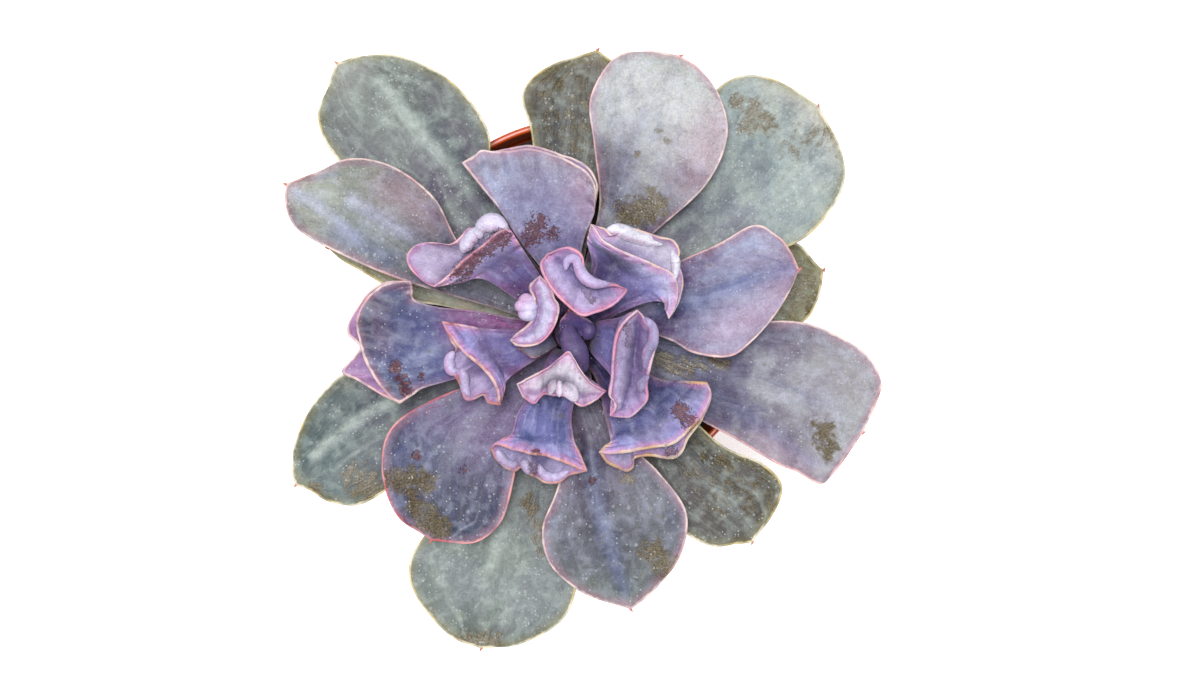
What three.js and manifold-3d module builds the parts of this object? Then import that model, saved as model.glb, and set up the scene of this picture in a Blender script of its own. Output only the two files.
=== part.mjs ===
// A trompette echeveria in a thin-walled plastic pot, as closed solids in millimetres, +Z up.
// The origin is the middle of the pot's underside. The rosette has flat outer leaves, and inner leaves whose
// ends open into a bell with a front lip, a back lip and a crease between them.
import * as THREE from "three";
import { mergeVertices } from "three/addons/utils/BufferGeometryUtils.js";
import Module from "manifold-3d";

const wasm = await Module();
wasm.setup();

// Pot
const RIM_HEIGHT = 92;
const RIM_RADIUS = 52.5;
const RIM_WIDTH = 2;
const COLLAR_HEIGHT = 14;
const COLLAR_STEP = 3.2;
const BASE_RADIUS = 36.5;
const WALL = 1.5;
const FLOOR = 2;
const DRAIN_RADIUS = 3.5;
const DRAIN_CIRCLE = 27;
const DRAINS = 8;
const POT_SIDES = 56;

// Potting mix and stem
const CLEARANCE = 0.3;
const MIX_DROP = 10;
const MIX_MOUND = 2.5;
const STEM_FOOT = new THREE.Vector2(0.5, -5.5);
const STEM_CROWN = new THREE.Vector2(-2.5, -8.1);
const CROWN_RISE = 24;
const STEM_RADIUS = 6.6;
const STEM_TOP_RADIUS = 4.2;
const STEM_HOLE_DEPTH = 22;
const STEM_SIDES = 18;

// The plan was read off a view from straight above: leaf points give x and y as they look on the plane of the
// rim to an eye at this place, and their height over the rim.
const EYE = new THREE.Vector3(5.3, -9.1, 466.7);

// Leaves
const ROOT_WIDTH = 7;
const ROOT_THICKNESS = 3;
const MARGIN_THICKNESS = 0.9;
const TIP_THICKNESS = 0.8;
const LIP_THICKNESS = 1.1;
const FLAT_POINTS = 7;
const BELL_POINTS = 12;

const seen = (x, y, rise) => {
  const nearer = 1 - rise / EYE.z;
  return new THREE.Vector3(
    EYE.x + (x - EYE.x) * nearer,
    EYE.y + (y - EYE.y) * nearer,
    RIM_HEIGHT + rise,
  );
};

const curve = (points) =>
  new THREE.CatmullRomCurve3(points, false, "catmullrom", 0.5);

// Stem axis and radius at a height over the rim
const stemAt = (rise) => {
  const share = (rise + MIX_DROP) / (CROWN_RISE + MIX_DROP);
  const middle = STEM_FOOT.clone().lerp(STEM_CROWN, share);
  return new THREE.Vector3(middle.x, middle.y, RIM_HEIGHT + rise);
};
const stemRadiusAt = (rise) =>
  THREE.MathUtils.lerp(
    STEM_RADIUS,
    STEM_TOP_RADIUS,
    THREE.MathUtils.smoothstep(rise, 8, CROWN_RISE),
  );

// A closed mesh made of rings of equal length, joined in order. A ring may repeat a vertex.
class RingMesh {
  constructor() {
    this.positions = [];
    this.triangles = [];
    this.last = null;
  }
  vertex(point) {
    this.positions.push(point.x, point.y, point.z);
    return this.positions.length / 3 - 1;
  }
  triangle(a, b, c) {
    if (a !== b && b !== c && c !== a) this.triangles.push(a, b, c);
  }
  ring(ids) {
    if (this.last)
      ids.forEach((id, i) => {
        const next = (i + 1) % ids.length;
        this.triangle(this.last[i], this.last[next], ids[next]);
        this.triangle(this.last[i], ids[next], id);
      });
    this.last = ids;
  }
  points(points) {
    this.ring(points.map((p) => this.vertex(p)));
  }
  start(point, firstRing) {
    const centre = this.vertex(point);
    const ids = firstRing.map((p) => this.vertex(p));
    ids.forEach((id, i) =>
      this.triangle(centre, ids[(i + 1) % ids.length], id),
    );
    this.last = ids;
  }
  end(point) {
    const apex = this.vertex(point);
    this.last.forEach((id, i) =>
      this.triangle(id, this.last[(i + 1) % this.last.length], apex),
    );
  }
  geometry() {
    const made = new THREE.BufferGeometry();
    made.setAttribute(
      "position",
      new THREE.Float32BufferAttribute(this.positions, 3),
    );
    made.setIndex(this.triangles);
    made.computeVertexNormals();
    return made;
  }
}

// One section of a leaf: its upper side from the left margin to the right, then its lower side back.
const section = (left, middle, right, forward, body, margin, count) => {
  const up = right.clone().sub(left).cross(forward).normalize();
  const sag = middle.clone().sub(left.clone().lerp(right, 0.5));
  const upper = [];
  const lower = [];
  for (let i = 0; i < count; i += 1) {
    const t = Math.sin((Math.PI / 2) * ((2 * i) / (count - 1) - 1));
    const point = left.clone().lerp(right, (1 + t) / 2);
    point.addScaledVector(sag, 1 - t * t);
    const thick = margin + (body - margin) * (1 - t * t) ** 0.75;
    upper.push(point);
    lower.unshift(point.clone().addScaledVector(up, -thick));
  }
  return [...upper, ...lower];
};

// The sections of a leaf from its root on the stem through its pairs of margin points.
const bladeSections = (leaf, count) => {
  const widths = leaf.pairs.map(([lx, ly, rx, ry]) =>
    Math.hypot(rx - lx, ry - ly),
  );
  const widest = Math.max(...widths);
  const rows = leaf.pairs.map(([lx, ly, rx, ry], i) => {
    const share = widths[i] / widest;
    const cup = (leaf.cup ?? 0) * share;
    const tilt = (leaf.tilt ?? 0) * share;
    const rise = leaf.rise[i];
    return {
      left: seen(lx, ly, rise + cup + tilt),
      right: seen(rx, ry, rise + cup - tilt),
      middle: seen((lx + rx) / 2, (ly + ry) / 2, rise),
    };
  });
  const axis = stemAt(leaf.root);
  const out = rows[0].middle.clone().sub(axis).setZ(0).normalize();
  const side = new THREE.Vector3(-out.y, out.x, 0);
  const reach = leaf.reach ?? stemRadiusAt(leaf.root - 2) + CLEARANCE;
  const seat = axis.addScaledVector(out, reach);
  const half = (leaf.rootWidth ?? ROOT_WIDTH) / 2;
  rows.unshift({
    left: seat.clone().addScaledVector(side, half),
    right: seat.clone().addScaledVector(side, -half),
    middle: seat.clone(),
  });
  const whole = rows.at(-1).middle.clone().sub(seat).normalize();
  return rows.map((row, i) => {
    const ahead = i + 1 < rows.length ? rows[i + 1].middle : row.middle;
    const behind = i > 0 ? rows[i - 1].middle : row.middle;
    const forward = ahead.clone().sub(behind).addScaledVector(whole, 3);
    if (i === 0) forward.normalize().add(out);
    const body = i > 0 ? leaf.body[i - 1] : ROOT_THICKNESS;
    const { left, middle, right } = row;
    return section(
      left,
      middle,
      right,
      forward,
      body,
      MARGIN_THICKNESS,
      count,
    );
  });
};

// Smooth paths along the leaf, one through each point of its sections
const pathsThrough = (sections) =>
  sections[0].map((_, i) => curve(sections.map((s) => s[i])));

const ringsAlong = (paths, steps) =>
  Array.from({ length: steps + 1 }, (_, k) =>
    paths.map((path) => path.getPoint(k / steps)),
  );

const centreOf = (points) =>
  points
    .reduce((sum, p) => sum.add(p), new THREE.Vector3())
    .divideScalar(points.length);

// A flat leaf that closes at its tip
const flatLeaf = (leaf) => {
  const made = new RingMesh();
  const body = [3.6, 3.5, 3.2, 2.9, 2.4, 1.9, 1.5];
  const sections = bladeSections({ body, ...leaf }, FLAT_POINTS);
  const tip = seen(...leaf.tip);
  const below = tip.clone().setZ(tip.z - TIP_THICKNESS);
  const end = [
    ...Array(FLAT_POINTS).fill(tip),
    ...Array(FLAT_POINTS).fill(below),
  ];
  const paths = pathsThrough([...sections, end]);
  const rings = ringsAlong(paths, 2 * sections.length);
  made.start(centreOf(rings[0]), rings[0]);
  rings.slice(1, -1).forEach((ring) => made.points(ring));
  made.end(centreOf([tip, below]));
  return made.geometry();
};

// A leaf that ends in a bell. Its upper side runs out to the front lip and its lower side, with a belly, to the
// back lip. The pocket between them keeps a wall to both sides and ends in a crease where they come together.
// It stays shallow at the corners of the mouth and at its septa.
const bellLeaf = (leaf) => {
  const made = new RingMesh();
  const body = [3.4, 3.8, 3.8, 3.8];
  const sections = bladeSections({ body, ...leaf }, BELL_POINTS);
  const spaced = (list) =>
    curve(list.map((p) => seen(...p))).getSpacedPoints(BELL_POINTS - 1);
  const wall = leaf.wall ?? LIP_THICKNESS;
  const front = spaced(leaf.front);
  const back = spaced(leaf.back);
  [0, BELL_POINTS - 1].forEach((k) => {
    back[k].copy(front[BELL_POINTS - 1 - k]);
    back[k].z -= MARGIN_THICKNESS;
  });
  const lips = [...front, ...back];
  const across = (i) => lips.length - 1 - i;
  const waist = sections.at(-1);
  const bells = lips.map((lip, i) => {
    const along = Math.sin((Math.PI * (i % BELL_POINTS)) / (BELL_POINTS - 1));
    const drop = i < BELL_POINTS ? -0.8 : leaf.belly;
    const point = waist[i].clone().lerp(lip, 0.5);
    return point.setZ(point.z - drop * along);
  });
  const paths = pathsThrough([...sections, bells, lips]);
  const steps = 2 * sections.length + 2;
  const rings = ringsAlong(paths, steps);
  made.start(centreOf(rings[0]), rings[0]);
  rings.slice(1).forEach((ring) => made.points(ring));

  const widthAt = (i, u) =>
    paths[i].getPoint(u).distanceTo(paths[across(i)].getPoint(u));
  const waistAt = (sections.length - 1) / (sections.length + 1);
  const reach = lips.map((_, i) => {
    const spot = Math.min(i, across(i)) / (BELL_POINTS - 1);
    const shallow = [0, 1, ...(leaf.septa ?? [])].reduce(
      (most, at) => Math.max(most, 0.8 * Math.exp(-(((spot - at) / 0.07) ** 2))),
      0,
    );
    let u = 0.97;
    while (u > waistAt + 0.04 && widthAt(i, u) > 2.6 * wall) u -= 0.01;
    return 1 - (1 - u) * (1 - shallow);
  });
  const last = BELL_POINTS - 1;
  const inset = (points, share) => {
    [0, last, last + 1, 2 * last + 1].forEach((i) => {
      const neighbour = i % (last + 1) === 0 ? i + 1 : i - 1;
      points[i]?.lerp(points[neighbour], share);
    });
    return points;
  };
  const inside = (level, wallShare) =>
    paths.map((path, i) => {
      const u = 1 - (1 - reach[i]) * level;
      const share = wallShare ?? Math.min(wall / widthAt(i, u), 0.36);
      return path.getPoint(u).lerp(paths[across(i)].getPoint(u), share);
    });
  made.points(inset(inside(0), 0.35));
  made.points(inset(inside(0.5), 0.5));
  const crease = inset(inside(1, 0.5).slice(0, BELL_POINTS), 0.7);
  const floor = crease.map((p) => made.vertex(p));
  made.ring([...floor, ...[...floor].reverse()]);
  return made.geometry();
};

const FLAT_LEAVES = [
  {
    name: "outer_leaf_1",
    root: 3,
    pairs: [
      [15, 1, 17, -8],
      [33, 10, 35, -6],
      [50, 17, 52, -7],
      [60, 17.5, 62, -5],
      [65.5, 12, 66.5, 2],
    ],
    rise: [3.5, 4.5, 6, 7, 8],
    cup: 1.5,
    tip: [68, 9.8, 8.5],
  },
  {
    name: "outer_leaf_2",
    root: 2.5,
    pairs: [
      [-7, 12, 1, 12],
      [-12, 32, 5, 32],
      [-14, 48, 10, 48],
      [-16.5, 59.5, 13, 59],
      [-9, 67, 11, 66],
    ],
    rise: [4, 6, 7.5, 8.5, 9.5],
    cup: 1.5,
    tip: [4.7, 71.5, 10],
  },
  {
    name: "outer_leaf_3",
    root: 1.5,
    pairs: [
      [-22, -4, -20, 2],
      [-38, -0.5, -33, 7],
      [-48, 1.5, -45, 12],
      [-60, 8.5, -56, 17],
      [-67, 12.5, -66, 17.5],
    ],
    rise: [3, 5, 6.5, 7.5, 8],
    cup: 0.5,
    tip: [-71, 16, 8.5],
  },
  {
    name: "outer_leaf_4",
    root: 5,
    pairs: [
      [-20, -21, -25, -13],
      [-38, -38, -44, -15],
      [-52, -50, -60, -15.5],
      [-62, -56, -73, -25],
      [-70, -55.3, -80, -38],
      [-76, -52, -81, -46],
    ],
    rise: [5.5, 6, 7, 8, 9, 9.5],
    cup: 2,
    tip: [-80, -50.5, 10],
  },
  {
    name: "outer_leaf_5",
    root: 1.5,
    pairs: [
      [-5, -26, -14, -25],
      [-6, -45, -22, -44],
      [-4, -62, -38, -58],
      [-1, -76, -47.8, -71],
      [-5, -88, -46, -82],
      [-17, -95, -37, -92.5],
    ],
    rise: [3, 4.5, 6, 7, 8, 9],
    cup: 2,
    tip: [-28, -96.3, 9],
  },
  {
    name: "outer_leaf_6",
    root: 5.5,
    pairs: [
      [14, -20, 8, -27],
      [30, -31, 14, -38],
      [40, -39.5, 20, -52],
      [51, -44.5, 27, -62],
      [56.5, -51, 36, -67.5],
      [53.5, -59, 44, -67],
    ],
    rise: [6.5, 8, 9, 10, 10, 10],
    cup: 2,
    tip: [48, -66.5, 10],
  },
  {
    name: "outer_leaf_7",
    root: 5.5,
    pairs: [
      [-23, 7, -15, 15],
      [-43, 20, -25, 34],
      [-58, 31, -26, 49],
      [-70, 43, -36, 62.5],
      [-73.7, 53, -50, 69.5],
      [-71, 61.5, -61, 70],
    ],
    rise: [7, 9.5, 12, 14, 15, 15],
    cup: 2,
    tip: [-68.5, 67.8, 15],
  },
  {
    name: "outer_leaf_8",
    root: 7,
    pairs: [
      [10, 8, 17, 1],
      [22, 28, 33, 10],
      [29, 46, 48, 13],
      [37, 59.5, 63, 19],
      [46, 64.5, 72.5, 31],
      [57, 62, 73.5, 42],
    ],
    rise: [9, 12, 15, 17, 18, 18],
    cup: 2,
    tip: [66.5, 55.8, 18],
  },
  {
    name: "middle_leaf_1",
    root: 9,
    pairs: [
      [-21, -2, -18, 5],
      [-42, 4.2, -33, 16],
      [-57, 9.5, -41, 30],
      [-70, 15.5, -53, 39],
      [-79, 20.8, -65, 41],
      [-82.8, 27, -75, 37],
    ],
    rise: [12, 15, 18, 20, 21, 21],
    cup: 3,
    tip: [-82.8, 33.8, 22],
  },
  {
    name: "middle_leaf_2",
    root: 9.5,
    pairs: [
      [16, -7, 14, -16],
      [34, -6, 30, -30],
      [50, -4.5, 44, -38],
      [64, -5.3, 54.5, -44.3],
      [78.5, -12.5, 60.5, -46.8],
      [84, -20.5, 67, -50.2],
      [83.3, -26, 70.8, -47.3],
    ],
    rise: [12, 14, 15, 15, 14, 13.5, 13],
    cup: 2,
    tip: [79, -35.8, 12.7],
  },
  {
    name: "middle_leaf_3",
    root: 11,
    pairs: [
      [1, 12, 9, 9],
      [5, 28, 21, 20.5],
      [3.5, 45, 35, 33.5],
      [2.5, 58, 41, 47],
      [9, 69, 39, 58.5],
      [18, 71.3, 33.5, 65.8],
    ],
    rise: [14, 19, 22, 23, 23, 22],
    cup: 2,
    tip: [28, 69.8, 22],
  },
  {
    name: "middle_leaf_4",
    root: 9.5,
    pairs: [
      [-12, -25, -20, -20],
      [-17, -38, -36, -24],
      [-19, -50, -52, -33],
      [-22.5, -61, -56, -45],
      [-30, -66.6, -52, -58.5],
    ],
    rise: [13.5, 17, 19, 19, 18],
    cup: 2.5,
    tip: [-42, -66, 17.5],
  },
  {
    name: "middle_leaf_5",
    root: 12.4,
    pairs: [
      [4, -24, -4, -24],
      [13, -38, -3, -38],
      [22, -47, -7, -52],
      [29.5, -58, -11, -63],
      [28, -70, -8.5, -73],
      [21, -79.5, 1, -81],
    ],
    rise: [15, 18, 20, 20.5, 20, 19],
    cup: 2,
    tip: [14, -85.3, 18],
  },
  {
    name: "middle_leaf_6",
    root: 14,
    pairs: [
      [13, 3, 15, -7],
      [27, 12, 25, -10],
      [38, 17, 31.5, -13.5],
      [48.5, 22.5, 41.5, -14.5],
      [55, 19.5, 48.5, -9.5],
      [59.5, 14, 56, -0.5],
    ],
    rise: [18, 22, 24, 25, 26, 27],
    cup: 4,
    tip: [61.5, 10, 28],
  },
  {
    name: "heart_leaf_1",
    root: 24,
    rootWidth: 2.8,
    pairs: [
      [-7.8, -12.1, -9, -9.2],
      [-10.8, -14, -12, -10.3],
      [-13.5, -14.8, -15, -11.2],
    ],
    rise: [26.5, 28.2, 29],
    body: [1.8, 1.6, 1.4],
    cup: 0.5,
    tip: [-17.3, -12.3, 29],
  },
  {
    name: "heart_leaf_2",
    root: 27.8,
    rootWidth: 4,
    reach: -3,
    pairs: [
      [-6, -7.6, 3, -7],
      [-5.9, -4.8, 2.6, -4.8],
    ],
    rise: [29.8, 31.6],
    body: [2, 1.6],
    cup: 1.2,
    tip: [-3.4, -1.4, 33.5],
  },
];

const BELL_LEAVES = [
  {
    name: "flared_leaf_1",
    root: 14.5,
    pairs: [
      [-15, -13, -16, -4],
      [-26, -18, -30, -1.5],
      [-36, -21, -40, -0.5],
      [-44, -23.3, -46.5, 1.5],
    ],
    rise: [18, 21, 23, 24],
    cup: 2.5,
    belly: 1.5,
    front: [
      [-50.5, -27.5, 27],
      [-54.5, -23.5, 27.5],
      [-58.3, -18, 27],
      [-60.7, -12.5, 26.5],
      [-62.2, -8, 26],
      [-62, -4, 26.5],
      [-60, 1, 27],
      [-56, 4.5, 27.5],
      [-51.5, 6, 28],
      [-47.5, 6.3, 28],
    ],
    back: [
      [-49, 6.8, 27],
      [-54, 6.6, 26],
      [-58.5, 4.4, 24.5],
      [-62, 0, 23.5],
      [-64.8, -5, 23],
      [-65.3, -8.3, 23],
      [-62.8, -10.8, 23.5],
      [-61.8, -13, 23.5],
      [-64.5, -15.8, 22.5],
      [-66.8, -19, 22],
      [-63, -21, 22.5],
      [-57, -24.5, 24.5],
      [-51.5, -28, 26],
    ],
  },
  {
    name: "flared_leaf_2",
    root: 15,
    pairs: [
      [-9.5, 7.5, -0.5, 9.5],
      [-17, 17.5, 1, 18.5],
      [-22.5, 26, 3.6, 25],
    ],
    rise: [19, 24, 27],
    cup: 2,
    belly: 1.5,
    front: [
      [-33.3, 39.6, 30],
      [-30, 41, 31.5],
      [-28, 43, 31.5],
      [-24, 42.2, 32],
      [-19, 42.6, 32.5],
      [-14, 43.2, 33],
      [-8.5, 41.8, 33],
      [-3, 39.5, 33],
      [1, 37, 33],
      [3.6, 33.5, 32.5],
      [4.2, 29, 31],
    ],
    back: [
      [4.8, 29, 30],
      [4.6, 34, 30.5],
      [2.5, 38, 30.5],
      [-1, 40.3, 30.5],
      [-5, 41.8, 30.5],
      [-9, 43.3, 30.5],
      [-14, 44.6, 30.5],
      [-19, 44.2, 30.5],
      [-24, 43, 30.5],
      [-28, 42.5, 30],
      [-32.5, 40, 29.5],
    ],
  },
  {
    name: "trumpet_leaf_1",
    root: 18.7,
    rootWidth: 6.2,
    pairs: [
      [-17, 0.5, -11, 8],
      [-27, 7, -15.5, 14.5],
    ],
    rise: [24, 30],
    cup: 1.5,
    belly: 2.5,
    septa: [0.62],
    front: [
      [-41, 5, 34.5],
      [-37.5, 7, 36],
      [-32, 12.3, 37],
      [-27, 16, 37.5],
      [-22.5, 19.7, 37.5],
      [-19.3, 20.5, 36.5],
    ],
    back: [
      [-20, 21.2, 36],
      [-22, 23.8, 35.5],
      [-25, 24.6, 35],
      [-28, 23, 34.5],
      [-29.5, 21.3, 34.5],
      [-31.5, 21.7, 34],
      [-33.5, 19.3, 34],
      [-36.5, 17.2, 34],
      [-41, 17.6, 33],
      [-45.5, 17, 32],
      [-48.7, 14, 31.5],
      [-48, 10.5, 32],
      [-45.3, 7.5, 32.8],
      [-42.5, 6, 33.3],
    ],
  },
  {
    name: "trumpet_leaf_2",
    root: 19,
    pairs: [
      [1, 3.5, 8.5, -3.5],
      [2.8, 11.5, 17.5, 0.3],
      [1.5, 17.5, 22.5, 0.8],
    ],
    rise: [25, 30, 33],
    cup: 1.5,
    belly: 2.5,
    front: [
      [2.6, 22.5, 36],
      [5, 18, 37.5],
      [10, 15, 38.5],
      [16, 12.4, 39],
      [20.5, 10.4, 39],
      [24.5, 8.6, 38.5],
      [26.4, 5, 37.5],
      [25.8, 0.5, 36],
      [24.4, -3.7, 34.5],
    ],
    back: [
      [25.2, -3, 34],
      [27.4, 1, 34],
      [28.5, 5.5, 34],
      [28, 9.5, 34.5],
      [27, 12, 35],
      [27.7, 15, 35.5],
      [26, 18.2, 36],
      [22, 19.2, 36],
      [18, 20.6, 35],
      [14, 21.6, 34.5],
      [10.5, 20.4, 35],
      [8.5, 19.8, 36],
      [6.5, 22, 36],
      [4, 23.6, 35.5],
    ],
  },
  {
    name: "trumpet_leaf_3",
    root: 19.5,
    rootWidth: 6.2,
    pairs: [
      [-13.5, -16, -16, -7],
      [-20, -20.5, -26, -6.5],
    ],
    rise: [25, 30],
    cup: 1.5,
    belly: 2.5,
    septa: [0.5],
    front: [
      [-22.5, -28, 31],
      [-22.8, -24, 33],
      [-24.5, -20, 34],
      [-28, -16.2, 34],
      [-32, -13, 34],
      [-35.5, -9, 34],
      [-38.7, -4.5, 35],
    ],
    back: [
      [-38.5, -5.5, 34],
      [-36.5, -10, 32.5],
      [-35, -12.5, 31],
      [-37.2, -15, 29.5],
      [-37, -18, 29],
      [-35, -20.3, 29],
      [-33.6, -23.5, 28.5],
      [-32.3, -26.5, 28],
      [-30, -26.6, 28],
      [-27.5, -25.3, 29],
      [-26, -27.5, 29.5],
      [-23.5, -28.6, 30],
    ],
  },
  {
    name: "trumpet_leaf_4",
    root: 17.6,
    pairs: [
      [0.5, -19, -9.5, -18.5],
      [-2.5, -30, -17.5, -29.5],
      [-2, -37, -19.5, -35.5],
    ],
    rise: [24, 29, 31.5],
    cup: 1.5,
    belly: 2,
    septa: [0.48],
    front: [
      [1.8, -46.3, 31],
      [-4, -43.6, 33],
      [-10, -41.4, 33.5],
      [-14, -41, 33.5],
      [-19, -39.6, 33.5],
      [-23.5, -38.4, 33],
      [-25.5, -40, 31.5],
    ],
    back: [
      [-25.5, -41, 30.5],
      [-23.5, -43.6, 28],
      [-21, -45.6, 26.5],
      [-18.5, -46.5, 26],
      [-16.3, -45.2, 27],
      [-14, -47.5, 26.5],
      [-12, -48.5, 25.5],
      [-10, -49.8, 25],
      [-6, -49.6, 26],
      [-3, -47.6, 28],
      [1.5, -46.8, 30],
    ],
  },
  {
    name: "trumpet_leaf_5",
    root: 15.6,
    pairs: [
      [12, -15, 4, -21],
      [22, -20.5, 6.5, -31],
      [29, -21, 8, -37.5],
    ],
    rise: [22, 27, 29.5],
    cup: 1.5,
    belly: 2,
    septa: [0.68],
    front: [
      [35, -21.5, 31],
      [36, -25, 32],
      [33.5, -30.5, 32.5],
      [29, -35.5, 32.5],
      [25, -38.5, 32],
      [19, -39.6, 32],
      [12, -40.6, 31.5],
      [5, -41, 30],
    ],
    back: [
      [5.2, -41.8, 29],
      [7, -44, 27],
      [9.5, -45.3, 26],
      [12.5, -46.5, 25],
      [14.6, -45, 26],
      [14.5, -42.8, 27.5],
      [19, -42.2, 27],
      [25, -43, 26],
      [28, -41.5, 26.5],
      [30, -37.5, 28],
      [33.5, -32.5, 29],
      [36.3, -26, 30],
      [35.6, -21.8, 30],
    ],
  },
  {
    name: "inner_trumpet_1",
    root: 23,
    rootWidth: 5,
    pairs: [
      [-5.5, 1.5, 3, 1.5],
      [-7, 6.8, 6, 5],
    ],
    rise: [31, 36.5],
    cup: 1,
    belly: 2.5,
    front: [
      [-9.6, 14.2, 43.4],
      [-11.6, 10.8, 45.2],
      [-8.5, 4.5, 46.5],
      [-4.5, 0.3, 46.5],
      [0, -3, 46],
      [4, -2.3, 46.5],
      [8.5, -0.5, 46],
      [12, 2.5, 45],
      [13, 4.5, 43.4],
    ],
    back: [
      [11.5, 6.2, 44],
      [8, 6.4, 44],
      [4, 6.3, 44.5],
      [1.6, 8.5, 45],
      [1, 12, 45],
      [0, 14.7, 44.5],
      [-3, 16.3, 43.5],
      [-6.5, 15.8, 43.5],
      [-8, 15.5, 43.4],
    ],
  },
  {
    name: "inner_trumpet_2",
    root: 22.4,
    rootWidth: 4.4,
    wall: 0.9,
    pairs: [
      [-8.5, -9, -8.5, -2],
      [-12, -10.4, -11.5, 4],
    ],
    rise: [27, 31],
    body: [2.8, 2.8],
    cup: 1,
    belly: 1,
    front: [
      [-19.8, -10, 33],
      [-17.4, -11.7, 35],
      [-12, -11, 37],
      [-8.3, -7.5, 37.5],
      [-6.4, -3, 37.5],
      [-6.2, 0, 37.5],
      [-7.4, 2, 37.5],
      [-8.5, 5.5, 37],
      [-11.5, 8.2, 34.8],
    ],
    back: [
      [-13.8, 7.3, 35],
      [-14.8, 4.5, 34.5],
      [-16, 2.9, 34],
      [-18.2, 1.6, 33.5],
      [-19.2, -1.2, 33],
      [-18.8, -4.5, 33],
      [-18.4, -7, 33.2],
    ],
  },
  {
    name: "inner_trumpet_3",
    root: 20.5,
    rootWidth: 6,
    pairs: [
      [4.5, -4.5, 3.5, -14.5],
      [10, -3.5, 8.5, -20.5],
    ],
    rise: [30, 37],
    cup: 1.5,
    belly: 2,
    front: [
      [15.6, -1.3, 42],
      [12.2, -3.8, 43],
      [9.6, -8, 43.5],
      [8.6, -14, 43.5],
      [8.3, -20, 43.5],
      [7.6, -25, 43],
      [9.3, -27.3, 42],
      [8, -30.8, 40],
    ],
    back: [
      [10.5, -32, 38.5],
      [14, -31.2, 37.5],
      [17, -28.6, 38],
      [18.8, -26, 38.5],
      [18.7, -22, 39],
      [19.7, -17, 39],
      [20.7, -13, 39],
      [21.4, -10, 39],
      [20.6, -7.2, 39.5],
      [18.8, -5.5, 40],
      [18, -3.5, 40.5],
      [16.7, -2.2, 41],
    ],
  },
  {
    name: "inner_trumpet_4",
    root: 22.4,
    rootWidth: 6,
    pairs: [
      [-0.3, -14.5, -9, -14],
      [0.8, -18.8, -11, -18.2],
    ],
    rise: [30, 36],
    cup: 1,
    belly: 2,
    septa: [0.42, 0.6],
    front: [
      [7, -24, 39],
      [3, -21.6, 41],
      [0.3, -18.6, 42],
      [-1.8, -15.2, 42.5],
      [-3.5, -13, 42.5],
      [-6, -14.7, 42.5],
      [-9, -17.2, 42],
      [-13.5, -19.5, 41],
      [-18, -22, 39],
    ],
    back: [
      [-17.7, -23.8, 38],
      [-16, -26, 37],
      [-13, -27.6, 36],
      [-10.5, -25.3, 36.5],
      [-8, -25.6, 36],
      [-6, -25.6, 36],
      [-3.5, -26.3, 36],
      [0, -28.4, 35.5],
      [3.5, -27, 36.5],
      [6.8, -24.8, 38],
    ],
  },
];

// The pot: a lathe profile from the axis up the outside and down the inside, with drain holes cut in the floor
const collarFoot = RIM_HEIGHT - COLLAR_HEIGHT;
const outerProfile = [
  [0, 0],
  [BASE_RADIUS - 2, 0],
  [BASE_RADIUS, 2],
  [RIM_RADIUS - COLLAR_STEP, collarFoot - 2],
  [RIM_RADIUS - 0.6, collarFoot],
  [RIM_RADIUS, RIM_HEIGHT - 1.2],
  [RIM_RADIUS - 0.5, RIM_HEIGHT],
];
const innerProfile = [
  [RIM_RADIUS - RIM_WIDTH + 0.3, RIM_HEIGHT],
  [RIM_RADIUS - RIM_WIDTH, RIM_HEIGHT - 1],
  [RIM_RADIUS - WALL - 1, collarFoot + 1.5],
  [RIM_RADIUS - COLLAR_STEP - WALL, collarFoot - 1],
  [BASE_RADIUS - WALL, FLOOR + 2],
  [BASE_RADIUS - WALL - 2, FLOOR],
];
const lathe = (profile, sides) =>
  new THREE.LatheGeometry(
    profile.map(([r, z]) => new THREE.Vector2(r, z)),
    sides,
  ).rotateX(Math.PI / 2);

const solidOf = (geometry) => {
  const bare = geometry.clone();
  bare.deleteAttribute("normal");
  bare.deleteAttribute("uv");
  const merged = mergeVertices(bare, 1e-3);
  return new wasm.Manifold(
    new wasm.Mesh({
      numProp: 3,
      vertProperties: merged.attributes.position.array,
      triVerts: new Uint32Array(merged.index.array),
    }),
  );
};

const geometryOf = (solid) => {
  const mesh = solid.getMesh();
  const made = new THREE.BufferGeometry();
  made.setAttribute(
    "position",
    new THREE.BufferAttribute(new Float32Array(mesh.vertProperties), 3),
  );
  made.setIndex(new THREE.BufferAttribute(new Uint32Array(mesh.triVerts), 1));
  made.computeVertexNormals();
  return made;
};

const potGeometry = () => {
  let pot = solidOf(lathe([...outerProfile, ...innerProfile, [0, FLOOR]], POT_SIDES));
  for (let i = 0; i < DRAINS; i += 1) {
    const turn = (2 * Math.PI * i) / DRAINS;
    const drain = new THREE.CylinderGeometry(DRAIN_RADIUS, DRAIN_RADIUS, 10, 12)
      .rotateX(Math.PI / 2)
      .translate(DRAIN_CIRCLE * Math.cos(turn), DRAIN_CIRCLE * Math.sin(turn), 0);
    pot = pot.subtract(solidOf(drain));
  }
  return geometryOf(pot);
};

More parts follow.
